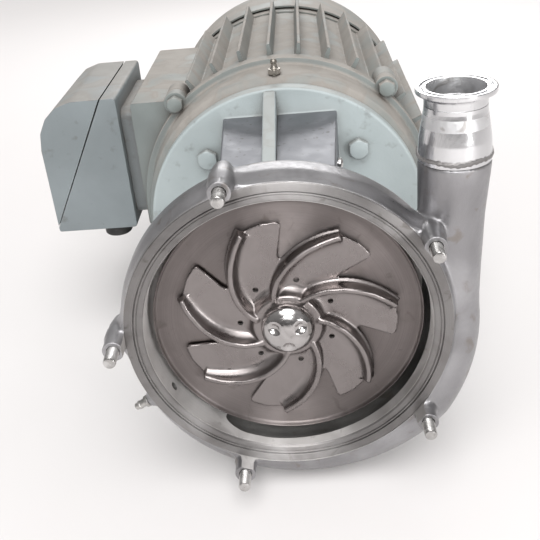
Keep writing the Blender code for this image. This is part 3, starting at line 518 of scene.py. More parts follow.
def plain_steel(name, light, dark, rough, grain=0.00008):
    made = Finish(name, 1.0, rough)
    clouds = made.noise(60.0, 5.0, 0.5)
    base = made.blend(made.span(clouds, 0.30, 0.70), dark, light)
    base = made.blend(made.span(made.noise(170.0, 6.0), 0.60, 0.75, 0.0, 0.5), base, GRIME)
    made.colour(base)
    made.roughness(made.span(clouds, 0.3, 0.7, rough - 0.05, rough + 0.10))
    made.bump(made.noise(800.0, 3.0), grain)
    return made.material


def soft_stuff(name, light, dark, rough, metallic=0.0, grain=0.0002):
    made = Finish(name, metallic, rough)
    made.colour(made.blend(made.span(made.noise(90.0, 5.0), 0.35, 0.65), dark, light))
    made.roughness(made.span(made.noise(140.0, 4.0), 0.3, 0.7, rough - 0.08, rough + 0.08))
    made.bump(made.noise(600.0, 4.0), grain)
    return made.material


PAINT_ADAPTER = paint("paint_adapter", (0.45, 0.508, 0.513), (0.38, 0.43, 0.435), 0.55, 0.55)
PAINT_MOTOR = paint("paint_motor", (0.245, 0.277, 0.268), (0.19, 0.213, 0.209), 0.05)
PAINT_BOX = paint("paint_box", (0.25, 0.283, 0.296), (0.21, 0.238, 0.247), 0.30, 0.75)
CASTING = cast_steel("casting", (0.39, 0.384, 0.395), (0.27, 0.265, 0.272), 0.37)
CHANNEL = cast_steel("channel_wall", (0.38, 0.37, 0.36), (0.28, 0.27, 0.26), 0.50)
SEAT_STEEL = turned_steel("seat_rings", (0.37, 0.358, 0.354), (0.24, 0.229, 0.225), 0.46, 0.00005, 0.95)
BOWL_STEEL = turned_steel("bowl_wall", (0.62, 0.605, 0.595), (0.46, 0.445, 0.435), 0.58, 0.00006, 0.8)
# Painted shade: the back plate and impeller steels get a dark base colour, darker copies of the bowl's steel
# that stand in for the dark surroundings they reflect.
PLATE_STEEL = turned_steel("plate_face", (0.26, 0.232, 0.226), (0.20, 0.177, 0.171), 0.42, 0.00001, 0.90)
IMPELLER_STEEL = polished_steel("impeller_skin", (0.275, 0.25, 0.245), (0.24, 0.217, 0.212), 0.3,
                                0.0002, 0.02)
NUT_STEEL = polished_steel("nut_skin", (0.52, 0.50, 0.495), (0.36, 0.345, 0.34), 0.14, 0.0008)
NECK_STEEL = polished_steel("neck_polish", (0.68, 0.68, 0.69), (0.65, 0.65, 0.66), 0.16, 0.00005, 0.02)
BORE_STEEL = cast_steel("bore_wall", (0.78, 0.78, 0.79), (0.64, 0.64, 0.65), 0.30)
STUD_STEEL = plain_steel("stud_steel", (0.66, 0.65, 0.64), (0.40, 0.39, 0.38), 0.26)
SCREW_STEEL = plain_steel("screw_steel", (0.55, 0.54, 0.52), (0.33, 0.32, 0.31), 0.30)
GUARD_STEEL = plain_steel("guard_sheet", (0.30, 0.305, 0.325), (0.24, 0.244, 0.26), 0.48)
GREASE_STEEL = plain_steel("grease_steel", (0.42, 0.39, 0.35), (0.26, 0.24, 0.21), 0.38)
SHAFT_STEEL = plain_steel("shaft_steel", (0.52, 0.51, 0.50), (0.38, 0.37, 0.36), 0.28)
RUBBER = soft_stuff("rubber", (0.035, 0.034, 0.033), (0.018, 0.018, 0.018), 0.62)
CARBON = soft_stuff("carbon", (0.07, 0.07, 0.075), (0.045, 0.045, 0.05), 0.42)
CERAMIC = soft_stuff("ceramic", (0.80, 0.77, 0.70), (0.72, 0.69, 0.62), 0.28)
COPPER = soft_stuff("copper", (0.60, 0.27, 0.12), (0.42, 0.17, 0.07), 0.42, 0.7, 0.0006)
IRON = soft_stuff("laminations", (0.20, 0.20, 0.21), (0.12, 0.12, 0.125), 0.55, 0.8, 0.0004)
ALUMINIUM = soft_stuff("aluminium", (0.56, 0.57, 0.58), (0.42, 0.43, 0.44), 0.46, 0.9, 0.0003)


# ---- casing ---------------------------------------------------------------------------------------

def volute_circle(angle):
    """Centre radius, centre y and radius of the channel's outside at this angle."""
    if angle < VOLUTE_WIDEST:
        growth = (angle - VOLUTE_START) / (VOLUTE_WIDEST - VOLUTE_START)
        outer_edge = 0.150 + 0.033 * max(growth, 0.0) ** 0.75
        front = 0.0035 - 0.0083 * min(1.0, max(0.0, 2 * growth))
    else:
        back = 1 - angle / VOLUTE_WIDEST
        outer_edge = 0.183 - (0.183 - VOLUTE_INNER - 2 * TUBE_LOW_RADIUS) * back
        front = -0.0048 + (TUBE_Y - TUBE_LOW_RADIUS + 0.0048) * back
    half = (outer_edge - VOLUTE_INNER) / 2
    return VOLUTE_INNER + half, front + half, half


def discharge_loops(wall, first, sides, steps, top, ease=0.0):
    """Sections of the channel from an angle up to the tube, and of the tube. With ease the channel
    starts thin at its outer edge and opens over that angle."""
    loops = []
    for step in range(steps + 1):
        angle = first * (1 - step / steps)
        centre, y, half = volute_circle(angle)
        if ease and angle < first + ease:
            thin = (half - wall) * 0.80 * float(1 - smoothstep(0.0, ease, angle - first))
            centre += thin
            half -= thin
        loop = []
        for side in range(sides):
            turn = 2 * pi * side / sides
            x, z = polar(centre + (half - wall) * cos(turn), angle)
            loop.append((x, y + (half - wall) * sin(turn), z))
        loops.append(loop)
    for z in (0.014, 0.040, 0.065, 0.091, 0.113, 0.135, top):
        radius = float(np.interp(z, (0.0, 0.040, 0.091, 0.135), (0.0272, 0.0275, 0.0283, TUBE_RADIUS)))
        loop = []
        for side in range(sides):
            x, y = polar(radius - wall, 2 * pi * side / sides)
            loop.append((TUBE_X - TUBE_RADIUS + radius + x, TUBE_Y + y, z))
        loops.append(loop)
    return loops


def casting_body():
    """The rim and the volute as one skin: the outline is found along rays from inside the rim."""
    turns = 260
    rays = 64
    inner_r = 0.126
    inner_y = 0.018
    front = -0.0052
    middle = (front + CASING_BACK) / 2
    tall = (CASING_BACK - front) / 2
    angles = np.linspace(-pi, pi, turns, endpoint=False)
    circles = np.array([volute_circle(angle) if VOLUTE_START < angle <= 0 else (
        volute_circle(VOLUTE_START) if angle <= VOLUTE_START else volute_circle(0.0)) for angle in angles])
    fade = (1 - smoothstep(radians(-178), radians(-160), angles)) + smoothstep(0.0, radians(6), angles)
    swell = np.zeros(turns)
    for stud in STUD_ANGLES:
        away = np.angle(np.exp(1j * (angles - stud)))
        swell += 0.0090 * np.exp(-(away / 0.080) ** 2)
    tilt = np.linspace(-pi / 2, radians(112), rays)
    low = np.zeros((rays, turns))
    high = np.full((rays, turns), 0.09)
    for _ in range(26):
        reach = (low + high) / 2
        radius = inner_r + reach * np.cos(tilt)[:, None]
        y = inner_y + reach * np.sin(tilt)[:, None]
        corner = np.where(y < middle, 0.0012, 0.015)
        taper = 0.0046 * (1 - smoothstep(-0.004, 0.013, y))
        outer = RIM_RADIUS - taper + swell[None, :] * (1 - smoothstep(0.012, 0.034, y))
        side = radius - outer + corner
        face = np.abs(y - middle) - tall + corner
        rim = (np.hypot(np.maximum(side, 0), np.maximum(face, 0))
               + np.minimum(np.maximum(side, face), 0) - corner)
        tube = np.hypot(radius - circles[None, :, 0], y - circles[None, :, 1]) - circles[None, :, 2]
        tube = tube + 0.030 * fade[None, :]
        soft = 0.007
        share = np.maximum(soft - np.abs(rim - tube), 0) / soft
        inside = np.minimum(rim, tube) - share ** 2 * soft / 4 < 0
        low = np.where(inside, reach, low)
        high = np.where(inside, high, reach)
    rows = [[(0.0, front, 0.0)]]
    for ray in range(rays):
        radius = inner_r + low[ray] * cos(tilt[ray])
        y = inner_y + low[ray] * sin(tilt[ray])
        rows.append([(float(r * cos(a)), float(d), float(r * sin(a))) for r, d, a in zip(radius, y, angles)])
    rows.append([(0.0, CASING_BACK, 0.0)])
    return surface(rows)


def lug_cone(angle):
    profile = [(0, -0.014), (0.0098, -0.014), (0.0106, -0.004), (0.0104, 0.014), (0.008, 0.029), (0, 0.03)]
    return turned(profile, 32, centre=polar(STUD_CIRCLE, angle))


def lug_barrel(angle):
    profile = rounded([(0, LUG_FACE), (LUG_RADIUS, LUG_FACE), (LUG_RADIUS, -0.011),
                       (LUG_RADIUS + 0.0014, -0.006), (LUG_RADIUS + 0.0014, 0.004), (0, 0.004)],
                      [0, 0.0009, 0.003, 0, 0, 0], 4)
    return turned(profile, 48, centre=polar(STUD_CIRCLE, angle))


def make_casing():
    shapes = [casting_body(), capped(discharge_loops(0.0, radians(-25), 40, 8, TUBE_TOP))]
    shapes += [lug_cone(angle) for angle in STUD_ANGLES]
    boss = turned([(0, 0.138), (0.0098, 0.138), (0.0086, 0.146), (0.0074, 0.1552), (0.0066, 0.1558),
                   (0, 0.1558)], 32)
    shapes.append(placed(boss, outward(DRAIN_ANGLE, DRAIN_Y)))
    casing = holder("casing_body", gather(shapes), CASTING)
    cast_together(casing, 0.00145, 6)
    combine(casing, gather([lug_barrel(angle) for angle in STUD_ANGLES]), "UNION", CASTING)
    cove = rounded([(0, -0.03), (0.1440, -0.03), (0.1440, -0.0026), (BOWL_RADIUS, -0.0026),
                    (BOWL_RADIUS, BOWL_FLOOR), (THROAT_RADIUS, BOWL_FLOOR), (THROAT_RADIUS, 0.060),
                    (0, 0.060)],
                   [0, 0, 0, 0, 0.0045, 0.0008, 0, 0], 5)
    combine(casing, turned(cove, 192), "DIFFERENCE", BOWL_STEEL)
    combine(casing, capped(discharge_loops(TUBE_WALL, VOLUTE_START * 0.93, 36, 60, 0.160, radians(42))),
            "DIFFERENCE", CHANNEL)
    holes = [rod(STUD_RADIUS + 0.0005, LUG_FACE - 0.004, -0.0048, 24, polar(STUD_CIRCLE, angle))
             for angle in STUD_ANGLES]
    holes += [rod(0.0045, 0.028, 0.046, 16, polar(CASING_SCREW_CIRCLE, angle)) for angle in QUARTERS]
    drain = rod(0.0040, 0.120, 0.165, 20)
    holes.append(placed(drain, outward(DRAIN_ANGLE, DRAIN_Y)))
    combine(casing, gather(holes), "DIFFERENCE", CHANNEL)
    fit(casing, PUMP, [], 40)
    seat = rounded([
        (BOWL_RADIUS + 0.0001, 0.0004), (BOWL_RADIUS + 0.0001, -0.0020), (0.1284, -0.0042), (0.1326, -0.0046),
        (0.1330, -0.0040), (0.1336, -0.0040), (0.1339, -0.0054), (0.1351, -0.0054), (0.1353, -0.0036),
        (0.1361, -0.0036), (0.1364, -0.0059), (0.1434, -0.0059), (0.1439, -0.0055), (0.14395, -0.0024),
        (0.1405, -0.0024), (0.1400, 0.0004)],
        [0, 0.0012, 0.0012, 0.0002, 0, 0, 0.0003, 0.0004, 0, 0, 0.0004, 0.0004, 0, 0, 0, 0], 3, closed=True)
    piece("cover_seat", turned(seat, 224, ring=True), SEAT_STEEL, PUMP, ["casing"], 30)


def thread_stud(index, angle):
    """A stud with a real helical thread and a small dog point."""
    pitch = 0.0015
    sides = 24
    rows = [[(0.0, STUD_TIP, 0.0)]]
    y = STUD_TIP
    while y < -0.0050:
        loop = []
        for side in range(sides):
            turn = 2 * pi * side / sides
            phase = (y / pitch + side / sides) % 1.0
            crest = abs(2 * phase - 1)
            near = min(1.0, (y - STUD_TIP) / 0.0026)
            limit = STUD_RADIUS * (0.80 + 0.20 * sqrt(1 - (1 - near) ** 2))
            reach = min(STUD_RADIUS - 0.00060 * min(1.0, crest * 1.25), limit)
            loop.append((reach * cos(turn), y, reach * sin(turn)))
        rows.append(loop)
        y += pitch / 5
    rows.append([(0.0, rows[-1][0][1], 0.0)])
    bm = surface(rows)
    x, z = polar(STUD_CIRCLE, angle)
    placed(bm, Matrix.Translation((x, 0, z)))
    piece(f"stud_{index}", bm, STUD_STEEL, PUMP, [f"cover_stud_{index}"], 50)


def make_drain_plug():
    profile = rounded([(0, 0.132), (0.0037, 0.132), (0.0037, 0.1563), (0.0058, 0.1563), (0.0058, 0.1600),
                       (0.0044, 0.1606), (0.0038, 0.1660), (0.0043, 0.1665), (0.0043, 0.1680),
                       (0.0036, 0.1684), (0.0034, 0.1718), (0, 0.1718)],
                      0.0003, 2)
    bm = placed(turned(profile, 32), outward(DRAIN_ANGLE, DRAIN_Y))
    piece("drain_stub", bm, SCREW_STEEL, PUMP, ["drain_plug"])


def weld_bead(radius, z, centre):
    """A hand-laid bead round the tube."""
    turns = 120
    around = 10
    loops = []
    for step in range(turns):
        angle = 2 * pi * step / turns
        ripple = sin(angle * 37) + 0.6 * sin(angle * 23 + 1.1)
        thick = 0.0012 + 0.00022 * ripple + 0.0002 * sin(angle * 3)
        height = z + 0.0005 * sin(angle * 5 + 0.6)
        loop = []
        for side in range(around):
            turn = 2 * pi * side / around
            reach = radius + thick * cos(turn)
            loop.append((centre[0] + reach * cos(angle), centre[1] + reach * sin(angle),
                         height + 1.7 * thick * sin(turn)))
        loops.append(loop)
    return surface(loops, close_rows=True)


def neck_turned(profile):
    """A turned piece of the discharge, stood on its axis, with the second look in its bore."""
    bm = turned(profile, 128, ring=True)
    for face in bm.faces:
        middle = face.calc_center_median()
        reach = hypot(middle.x, middle.z)
        if reach < NECK_BORE + 0.0004 or (middle.y < 0.178 and reach < 0.0274):
            face.material_index = 1
    return placed(bm, upright(TUBE_X, TUBE_Y))


def make_discharge():
    reducer = rounded([
        (0.0272, 0.1400), (0.0302, 0.1400), (0.0303, 0.1440), (0.0300, 0.1462), (0.0293, 0.1580),
        (0.0276, 0.1695), (0.0260, 0.1790), (0.0255, 0.1825), (0.0254, REDUCER_TOP), (NECK_BORE, REDUCER_TOP),
        (NECK_BORE, 0.178), (0.0272, 0.1570)],
        [0, 0.0003, 0.0010, 0.0020, 0.02, 0.02, 0.004, 0.002, 0, 0, 0.003, 0.004], 4, closed=True)
    reducer = holder("reducer", neck_turned(reducer), NECK_STEEL)
    reducer.data.materials.append(BORE_STEEL)
    combine(reducer, weld_bead(0.0301, 0.1447, (TUBE_X, TUBE_Y)), "UNION", SEAT_STEEL)
    fit(reducer, PUMP, ["discharge_reducer"], 30)
    ferrule = rounded([
        (NECK_BORE, 0.1860), (0.0254, 0.1860), (0.0254, 0.1918), (0.0262, 0.1934), (FERRULE_RADIUS, 0.1958),
        (FERRULE_RADIUS, 0.1999), (0.0292, 0.1999), (0.0288, 0.1984), (0.0273, 0.1984), (0.0269, 0.1999),
        (NECK_BORE, 0.1999)],
        [0, 0.0003, 0.001, 0.0008, 0.0008, 0.0007, 0.0003, 0.0006, 0.0006, 0.0003, 0.0008], 3, closed=True)
    ferrule = holder("ferrule", neck_turned(ferrule), NECK_STEEL)
    ferrule.data.materials.append(BORE_STEEL)
    fit(ferrule, PUMP, ["discharge_ferrule"], 28)


# ---- back plate and impeller ----------------------------------------------------------------------

def make_back_plate():
    profile = rounded([
        (0.027, 0.022), (0.1195, 0.022), (0.1206, 0.0178), (0.1216, 0.0180), (0.1216, 0.0297),
        (0.115, 0.0297), (0.115, 0.0263), (0.1096, 0.0263), (0.1096, 0.0297), (0.0955, 0.0297),
        (0.0955, 0.037), (0.040, 0.037), (0.040, 0.046), (0.027, 0.046)],
        [0.0005, 0.0045, 0.0005, 0.0005, 0, 0, 0, 0, 0, 0, 0, 0, 0, 0], 7, closed=True)
    piece("rear_plate", turned(profile, 160, ring=True), PLATE_STEEL, PUMP, ["back_plate"])


def vane_angle(index, radius):
    share = (VANE_TIP_RADIUS - radius) / (VANE_TIP_RADIUS - VANE_ROOT_RADIUS)
    return VANE_START + 2 * pi * index / VANES + VANE_SWEEP * share


def vane_front(radius):
    if radius < 0.060:
        return 0.0035 + 0.0030 * ((0.060 - radius) / 0.033) ** 2
    return 0.0035 + 0.0060 * ((radius - 0.060) / 0.038) ** 2


def vane_shape(index):
    steps = 30
    sections = []
    for step in range(steps + 1):
        radius = 0.027 + (VANE_TIP_RADIUS - 0.0006 - 0.027) * step / steps
        x, z = polar(radius, vane_angle(index, radius))
        ahead = Vector(polar(radius + 0.001, vane_angle(index, radius + 0.001)))
        run = (ahead - Vector((x, z))).normalized()
        side = Vector((-run.y, run.x))
        wave = 0.00025 * sin(step * 0.9 + index * 1.7)
        front = vane_front(radius) + wave
        half = 0.0028
        back = SHROUD_BACK - 0.0012
        narrow = 0.0030
        wide = 0.0095
        drop = min(wide, (SHROUD_FRONT - front) * 0.80)
        slopes = [pi / 2 * turn / 6 for turn in range(7)]
        left = [(half + narrow * (1 - sin(a)), SHROUD_FRONT - narrow * (1 - cos(a))) for a in slopes]
        right = [(-half - wide * (1 - sin(a)), SHROUD_FRONT - drop * (1 - cos(a))) for a in slopes]
        crown = [(half * cos(pi * turn / 8), front + 0.0019 * (1 - sin(pi * turn / 8)))
                 for turn in range(1, 8)]
        edge = [(half + narrow, back)] + left + crown + right[::-1] + [(-half - wide, back)]
        sections.append([(x + side.x * across, y, z + side.y * across) for across, y in edge])
    return capped(sections)


def shroud_outline():
    points = []
    radii = []
    for index in reversed(range(VANES)):
        tip = VANE_START + 2 * pi * index / VANES
        for degrees, radius, corner in ((1.2, 0.0972, 0.003), (-10, 0.0990, 0.01), (-20, 0.0985, 0.004),
                                        (-16, 0.068, 0.008)):
            points.append(polar(radius, tip + radians(degrees)))
            radii.append(corner)
        for radius, extra in ((0.0600, 3), (0.0605, 0), (0.068, 0), (0.078, 0), (0.088, 0)):
            turn = 0.0032 / radius + radians(extra)
            points.append(polar(radius, vane_angle(index - 1, radius) + turn))
            radii.append(0.004)
    return rounded(points, radii, 3, closed=True)


def make_impeller():
    hub = rounded([(0, 0.0200), (0.0390, 0.0200), (0.0388, 0.0174), (0.0345, 0.0160), (0.0322, 0.0128),
                   (0.0306, HUB_FACE), (0, HUB_FACE)], [0, 0, 0, 0.006, 0.006, 0.0026, 0], 4)
    shapes = [turned(hub, 72), prism(shroud_outline(), SHROUD_FRONT, SHROUD_BACK)]
    shapes += [vane_shape(index) for index in range(VANES)]
    impeller = holder("impeller_skin", gather(shapes), IMPELLER_STEEL)
    cast_together(impeller, 0.00100, 3)
    bore = [rod(0.0143, 0.0, 0.035, 48)]
    for index in range(VANES):
        bore.append(rod(0.0026, 0.010, 0.025, 24, polar(0.043, vane_angle(index, 0.043) - 0.42)))
    combine(impeller, gather(bore), "DIFFERENCE", CHANNEL)
    boss = turned([(0.0143, 0.0200), (0.0190, 0.0200), (0.0190, 0.0278), (0.0143, 0.0278)], 48, ring=True)
    combine(impeller, boss, "UNION", SHAFT_STEEL)
    fit(impeller, SHAFT, ["impeller"], 45)


def make_nut():
    """The domed nut: a height field with three soft thumb dimples."""
    base = HUB_FACE - 0.0003
    depth = 0.0160
    sides = 96
    pits = [polar(0.0130, radians(150 - 120 * index)) for index in range(3)]
    rows = [[(0.0, base - depth, 0.0)]]
    for step in range(1, 36):
        slope = pi / 2 * step / 36
        radius = NUT_RADIUS * sin(slope)
        loop = []
        for side in range(sides):
            x, z = polar(radius, 2 * pi * side / sides)
            y = base - depth + (depth - 0.0022) * (1 - cos(slope))
            for pit_x, pit_z in pits:
                away = hypot(x - pit_x, z - pit_z)
                y += 0.0034 * float(1 - smoothstep(0.0010, 0.0068, away))
            loop.append((x, min(y, base - 0.0012), z))
        rows.append(loop)
    for radius, y in ((NUT_RADIUS, base - 0.0012), (NUT_RADIUS - 0.0004, base - 0.0002),
                      (NUT_RADIUS - 0.0008, base), (0.0177, base), (0.0177, base - 0.0026),
                      (0.0143, base - 0.0026), (0.0143, base), (0.0093, base), (0.0093, base - 0.0106)):
        circle = [polar(radius, 2 * pi * side / sides) for side in range(sides)]
        rows.append([(x, y, z) for x, z in circle])
    rows.append([(0.0, base - 0.0106, 0.0)])
    piece("hub_nut", surface(rows), NUT_STEEL, SHAFT, ["impeller_nut"], 40)


# ---- adapter --------------------------------------------------------------------------------------

def hex_bolt(flat, height, shank, length, place, y):
    """A chamfered hex head standing forward of y, with its washer face and shank."""
    corner = flat / cos(pi / 6)
    profile = [(0, -height), (flat * 0.90, -height), (flat * 0.97, -height + 0.0003),
               (flat * 1.05, -height + 0.0012), (corner + 0.0002, -height + 0.0024),
               (corner + 0.0002, -0.0009), (flat, -0.0006), (flat * 0.97, -0.0004), (flat * 0.97, 0),
               (shank, 0), (shank, length), (0, length)]
    bm = turned(profile, hex_rows=range(1, 9), flat=flat)
    return placed(bm, Matrix.Translation((place[0], y, place[1])))


def neck_side(y, side):
    share = (y - NECK_FRONT) / (FLANGE_FRONT - NECK_FRONT)
    return side * (0.050 + 0.008 * share) - 0.002 * (1 - share)


def neck_top(y):
    return 0.112 + 0.010 * (y - NECK_FRONT) / (FLANGE_FRONT - NECK_FRONT)


def neck_loop(y, inset, corner, depth=None):
    share = (y - NECK_FRONT) / (FLANGE_FRONT - NECK_FRONT)
    left = neck_side(y, -1) + inset
    right = neck_side(y, 1) - inset
    top = neck_top(y) - inset
    bottom = -0.100 - 0.018 * share + inset
    outline = rounded([(left, bottom), (right, bottom), (right, top), (left, top)], corner, 5, closed=True)
    return [(x, y, z) for x, z in outline]


def make_adapter():
    disc = rounded([(0.046, FLANGE_FRONT), (FLANGE_RADIUS, FLANGE_FRONT), (FLANGE_RADIUS, FLANGE_BACK),
                    (0.046, FLANGE_BACK)],
                   [0, 0.0036, 0.0012, 0], 6, closed=True)
    adapter = holder("adapter_casting", turned(disc, 200, ring=True), PAINT_ADAPTER)
    neck = [neck_loop(NECK_FRONT - 0.001, 0.0, 0.0035), neck_loop(0.219, 0.0, 0.0035),
            neck_loop(0.2225, -0.0006, 0.004), neck_loop(0.2243, -0.0020, 0.0045),
            neck_loop(0.2258, -0.0050, 0.005)]
    combine(adapter, capped(neck), "UNION", PAINT_ADAPTER)
    ring = rounded([(0.0622, CASING_BACK + GAP), (0.112, CASING_BACK + GAP), (0.112, NECK_FRONT),
                    (0.0622, NECK_FRONT)],
                   [0, 0.0008, 0.0025, 0], 4, closed=True)
    combine(adapter, turned(ring, 128, ring=True), "UNION", PAINT_ADAPTER)
    slope = [(0.092, 0.110), (0.232, 0.110), (0.232, 0.149), (0.2235, 0.149), (0.092, 0.119)]
    ribs = []
    for flip in (1, -1):
        outline = rounded([(y, z * flip) for y, z in slope], [0, 0, 0, 0.006, 0.002], 5, closed=True)
        rib = holder("rib", prism(outline, RIB_X - 0.0065, RIB_X + 0.0065, "X"), PAINT_ADAPTER)
        bevel(rib, 0.0016, 3, 50)
        shape = bmesh.new()
        shape.from_mesh(rib.data)
        bpy.data.objects.remove(rib, do_unlink=True)
        ribs.append(shape)
    combine(adapter, gather(ribs), "UNION", PAINT_ADAPTER)
    combine(adapter, capped([neck_loop(NECK_FRONT - 0.003, 0.009, 0.005),
                             neck_loop(FLANGE_FRONT - 0.004, 0.009, 0.005)]),
            "DIFFERENCE", PAINT_ADAPTER)
    window = rounded([(0.072, -0.078), (0.208, -0.078), (0.208, 0.088), (0.072, 0.088)], 0.010, 5,
                     closed=True)
    combine(adapter, prism(window, -0.080, 0.080, "X"), "DIFFERENCE", PAINT_ADAPTER)
    bores = [rod(0.0622, 0.030, 0.066, 96), rod(0.0459, 0.2, 0.25, 96)]
    for angle in QUARTERS:
        bores.append(rod(0.0070, 0.215, 0.250, 32, polar(ADAPTER_BOLT_CIRCLE, angle)))
        bores.append(rod(0.0045, 0.035, 0.060, 24, polar(CASING_SCREW_CIRCLE, angle)))
    combine(adapter, gather(bores), "DIFFERENCE", PAINT_ADAPTER)
    hole = ring_of(GUARD_SCREW_AT, 0.0034, 16)
    combine(adapter, prism(hole, -0.070, 0.070, "X"), "DIFFERENCE", PAINT_ADAPTER)
    fit(adapter, PUMP, ["adapter"], 32)
    for index, angle in enumerate(QUARTERS):
        place = polar(ADAPTER_BOLT_CIRCLE, angle)
        bm = hex_bolt(0.0100, 0.0085, 0.0063, 0.030, place, FLANGE_FRONT - GAP)
        piece(f"flange_bolt_{index + 1}", bm, PAINT_ADAPTER, PUMP, [f"adapter_bolt_{index + 1}"])


def make_guards():
    for name, side in (("left", -1), ("right", 1)):
        loops = []
        for y in (0.064, 0.2235):
            near = neck_side(y, side) + side * GAP
            far = near + side * GUARD_SHEET
            under = neck_top(y) + GAP
            rib_side = RIB_X + side * 0.0068
            outline = rounded([(near, -0.088), (far, -0.088), (far, under + GUARD_SHEET),
                               (rib_side, under + GUARD_SHEET), (rib_side, under), (near, under)],
                              [0, 0.0004, 0.0024, 0.0004, 0, 0.0009], 5, closed=True)
            loops.append([(x, y, z) for x, z in outline])
        guard = holder(f"guard_sheet_{name}", capped(loops), GUARD_STEEL)
        cuts = []
        for index in range(6):
            y = 0.086 + 0.020 * index
            slot = rounded([(y, -0.060), (y + 0.008, -0.060), (y + 0.008, 0.066), (y, 0.066)], 0.0039, 6,
                           closed=True)
            cuts.append(prism(slot, side * 0.045, side * 0.070, "X"))
        ring = ring_of(GUARD_SCREW_AT, 0.0036, 20)
        cuts.append(prism(ring, side * 0.045, side * 0.070, "X"))
        combine(guard, gather(cuts), "DIFFERENCE", GUARD_STEEL)
        fit(guard, PUMP, [f"guard_{name}"], 32)
        seat = abs(neck_side(GUARD_SCREW_AT[0], side)) + 0.0024
        head = rounded([(0, seat - 0.0100), (0.0028, seat - 0.0100), (0.0028, seat), (0.0055, seat),
                        (0.0055, seat + 0.0030), (0.0036, seat + 0.0048), (0.0020, seat + 0.0048),
                        (0.0020, seat + 0.0028), (0, seat + 0.0028)],
                       [0, 0, 0, 0.0004, 0.0018, 0.001, 0.0002, 0.0002, 0], 4)
        bm = placed(turned(head, 32),
                    Matrix.Translation((0, *GUARD_SCREW_AT)) @ Matrix.Rotation(-side * pi / 2, 4, "Z"))
        piece(f"guard_screw_head_{name}", bm, STUD_STEEL, PUMP, [f"guard_screw_{name}"])


# ---- motor ----------------------------------------------------------------------------------------

def make_front_bell():
    profile = rounded([
        (0.032, 0.2413), (0.149, 0.2413), (0.158, 0.250), (0.1605, 0.2835), (0.168, 0.2845), (0.168, 0.298),
        (0.149, 0.298), (0.149, 0.276), (0.132, 0.264), (0.056, 0.264), (0.056, 0.276), (0.0457, 0.276),
        (0.0457, 0.252), (0.032, 0.252)],
        [0, 0.004, 0.006, 0.004, 0.0015, 0, 0, 0.003, 0.003, 0.002, 0, 0, 0, 0], 5, closed=True)
    bell = holder("front_bell", turned(profile, 160, ring=True), PAINT_MOTOR)
    places = [polar(BELL_BOLT_CIRCLE, angle) for angle in BELL_BOLT_ANGLES]
    lug = rounded([(0, 0.2840), (0.0130, 0.2840), (0.0130, 0.2975), (0, 0.2975)], [0, 0.0014, 0, 0], 4)
    combine(bell, gather([turned(lug, 48, centre=place) for place in places]), "UNION", PAINT_MOTOR)
    holes = [rod(0.0070, 0.230, 0.258, 24, polar(ADAPTER_BOLT_CIRCLE, angle)) for angle in QUARTERS]
    holes += [rod(0.0056, 0.275, 0.310, 24, place) for place in places]
    well = rod(0.0045, 0.145, 0.175, 24)
    holes.append(placed(well, upright(*GREASE_AT)))
    combine(bell, gather(holes), "DIFFERENCE", PAINT_MOTOR)
    fit(bell, PUMP, ["front_end_bell"])
    for index, place in enumerate(places):
        bm = hex_bolt(0.0085, 0.0075, 0.0050, 0.034, place, 0.2837)
        piece(f"through_bolt_{index + 1}", bm, PAINT_MOTOR, PUMP, [f"bell_bolt_{index + 1}"])
    profile = [(0, 0.148), (0.0038, 0.148), (0.0038, 0.1593), (0.0066, 0.1593), (0.0073, 0.1599),
               (0.0073, 0.1638), (0.0066, 0.1645), (0.0044, 0.1648), (0.0036, 0.1658), (0.0030, 0.1680),
               (0.0029, 0.1697), (0.0034, 0.1706), (0.0037, 0.1718), (0.0033, 0.1734), (0.0022, 0.1746),
               (0.0010, 0.1750), (0, 0.1746)]
    bm = placed(turned(profile, 48, hex_rows=range(3, 7), flat=0.0065), upright(*GREASE_AT))
    piece("grease_nipple", bm, GREASE_STEEL, PUMP, ["grease_fitting"], 30)


def frame_outline():
    points = []
    radii = []
    pitch = radians(216) / 20
    half = 0.0023
    fin = ((FRAME_RADIUS, -1.4, 0.0025), (0.180, -0.8, 0.0014), (0.180, 0.8, 0.0014),
           (FRAME_RADIUS, 1.4, 0.0025))
    for index in range(20):
        angle = radians(-42) + pitch * (index + 0.5)
        if angle > radians(136):
            break
        for radius, side, corner in fin:
            points.append(polar(radius, angle + side * half / radius))
            radii.append(corner)
        if index < 16:
            points.append(polar(0.1621, angle + pitch / 2))
            radii.append(0)
    pad_top = 0.125
    points += [(-sqrt(FRAME_RADIUS ** 2 - pad_top ** 2), pad_top), (-0.172, pad_top), (-0.172, -0.025),
               (-0.158, -0.036)]
    radii += [0.004, 0.004, 0.004, 0.004]
    left = [(-0.134, -0.0915), (-0.136, -0.160), (-0.166, -0.164), (-0.168, -SHAFT_AT[2]),
            (-0.104, -SHAFT_AT[2]), (-0.104, -0.160), (-0.120, -0.156), (-0.118, -0.111)]
    foot = [0.006, 0.006, 0.004, 0.0006, 0.0006, 0.002, 0.006, 0.006]
    points += left
    radii += foot
    for step in range(1, 24):
        points.append(polar(FRAME_RADIUS, radians(226 + 88 * step / 24)))
        radii.append(0)
    points += [(-x, z) for x, z in reversed(left)]
    radii += list(reversed(foot))
    return rounded(points, radii, 3, closed=True)


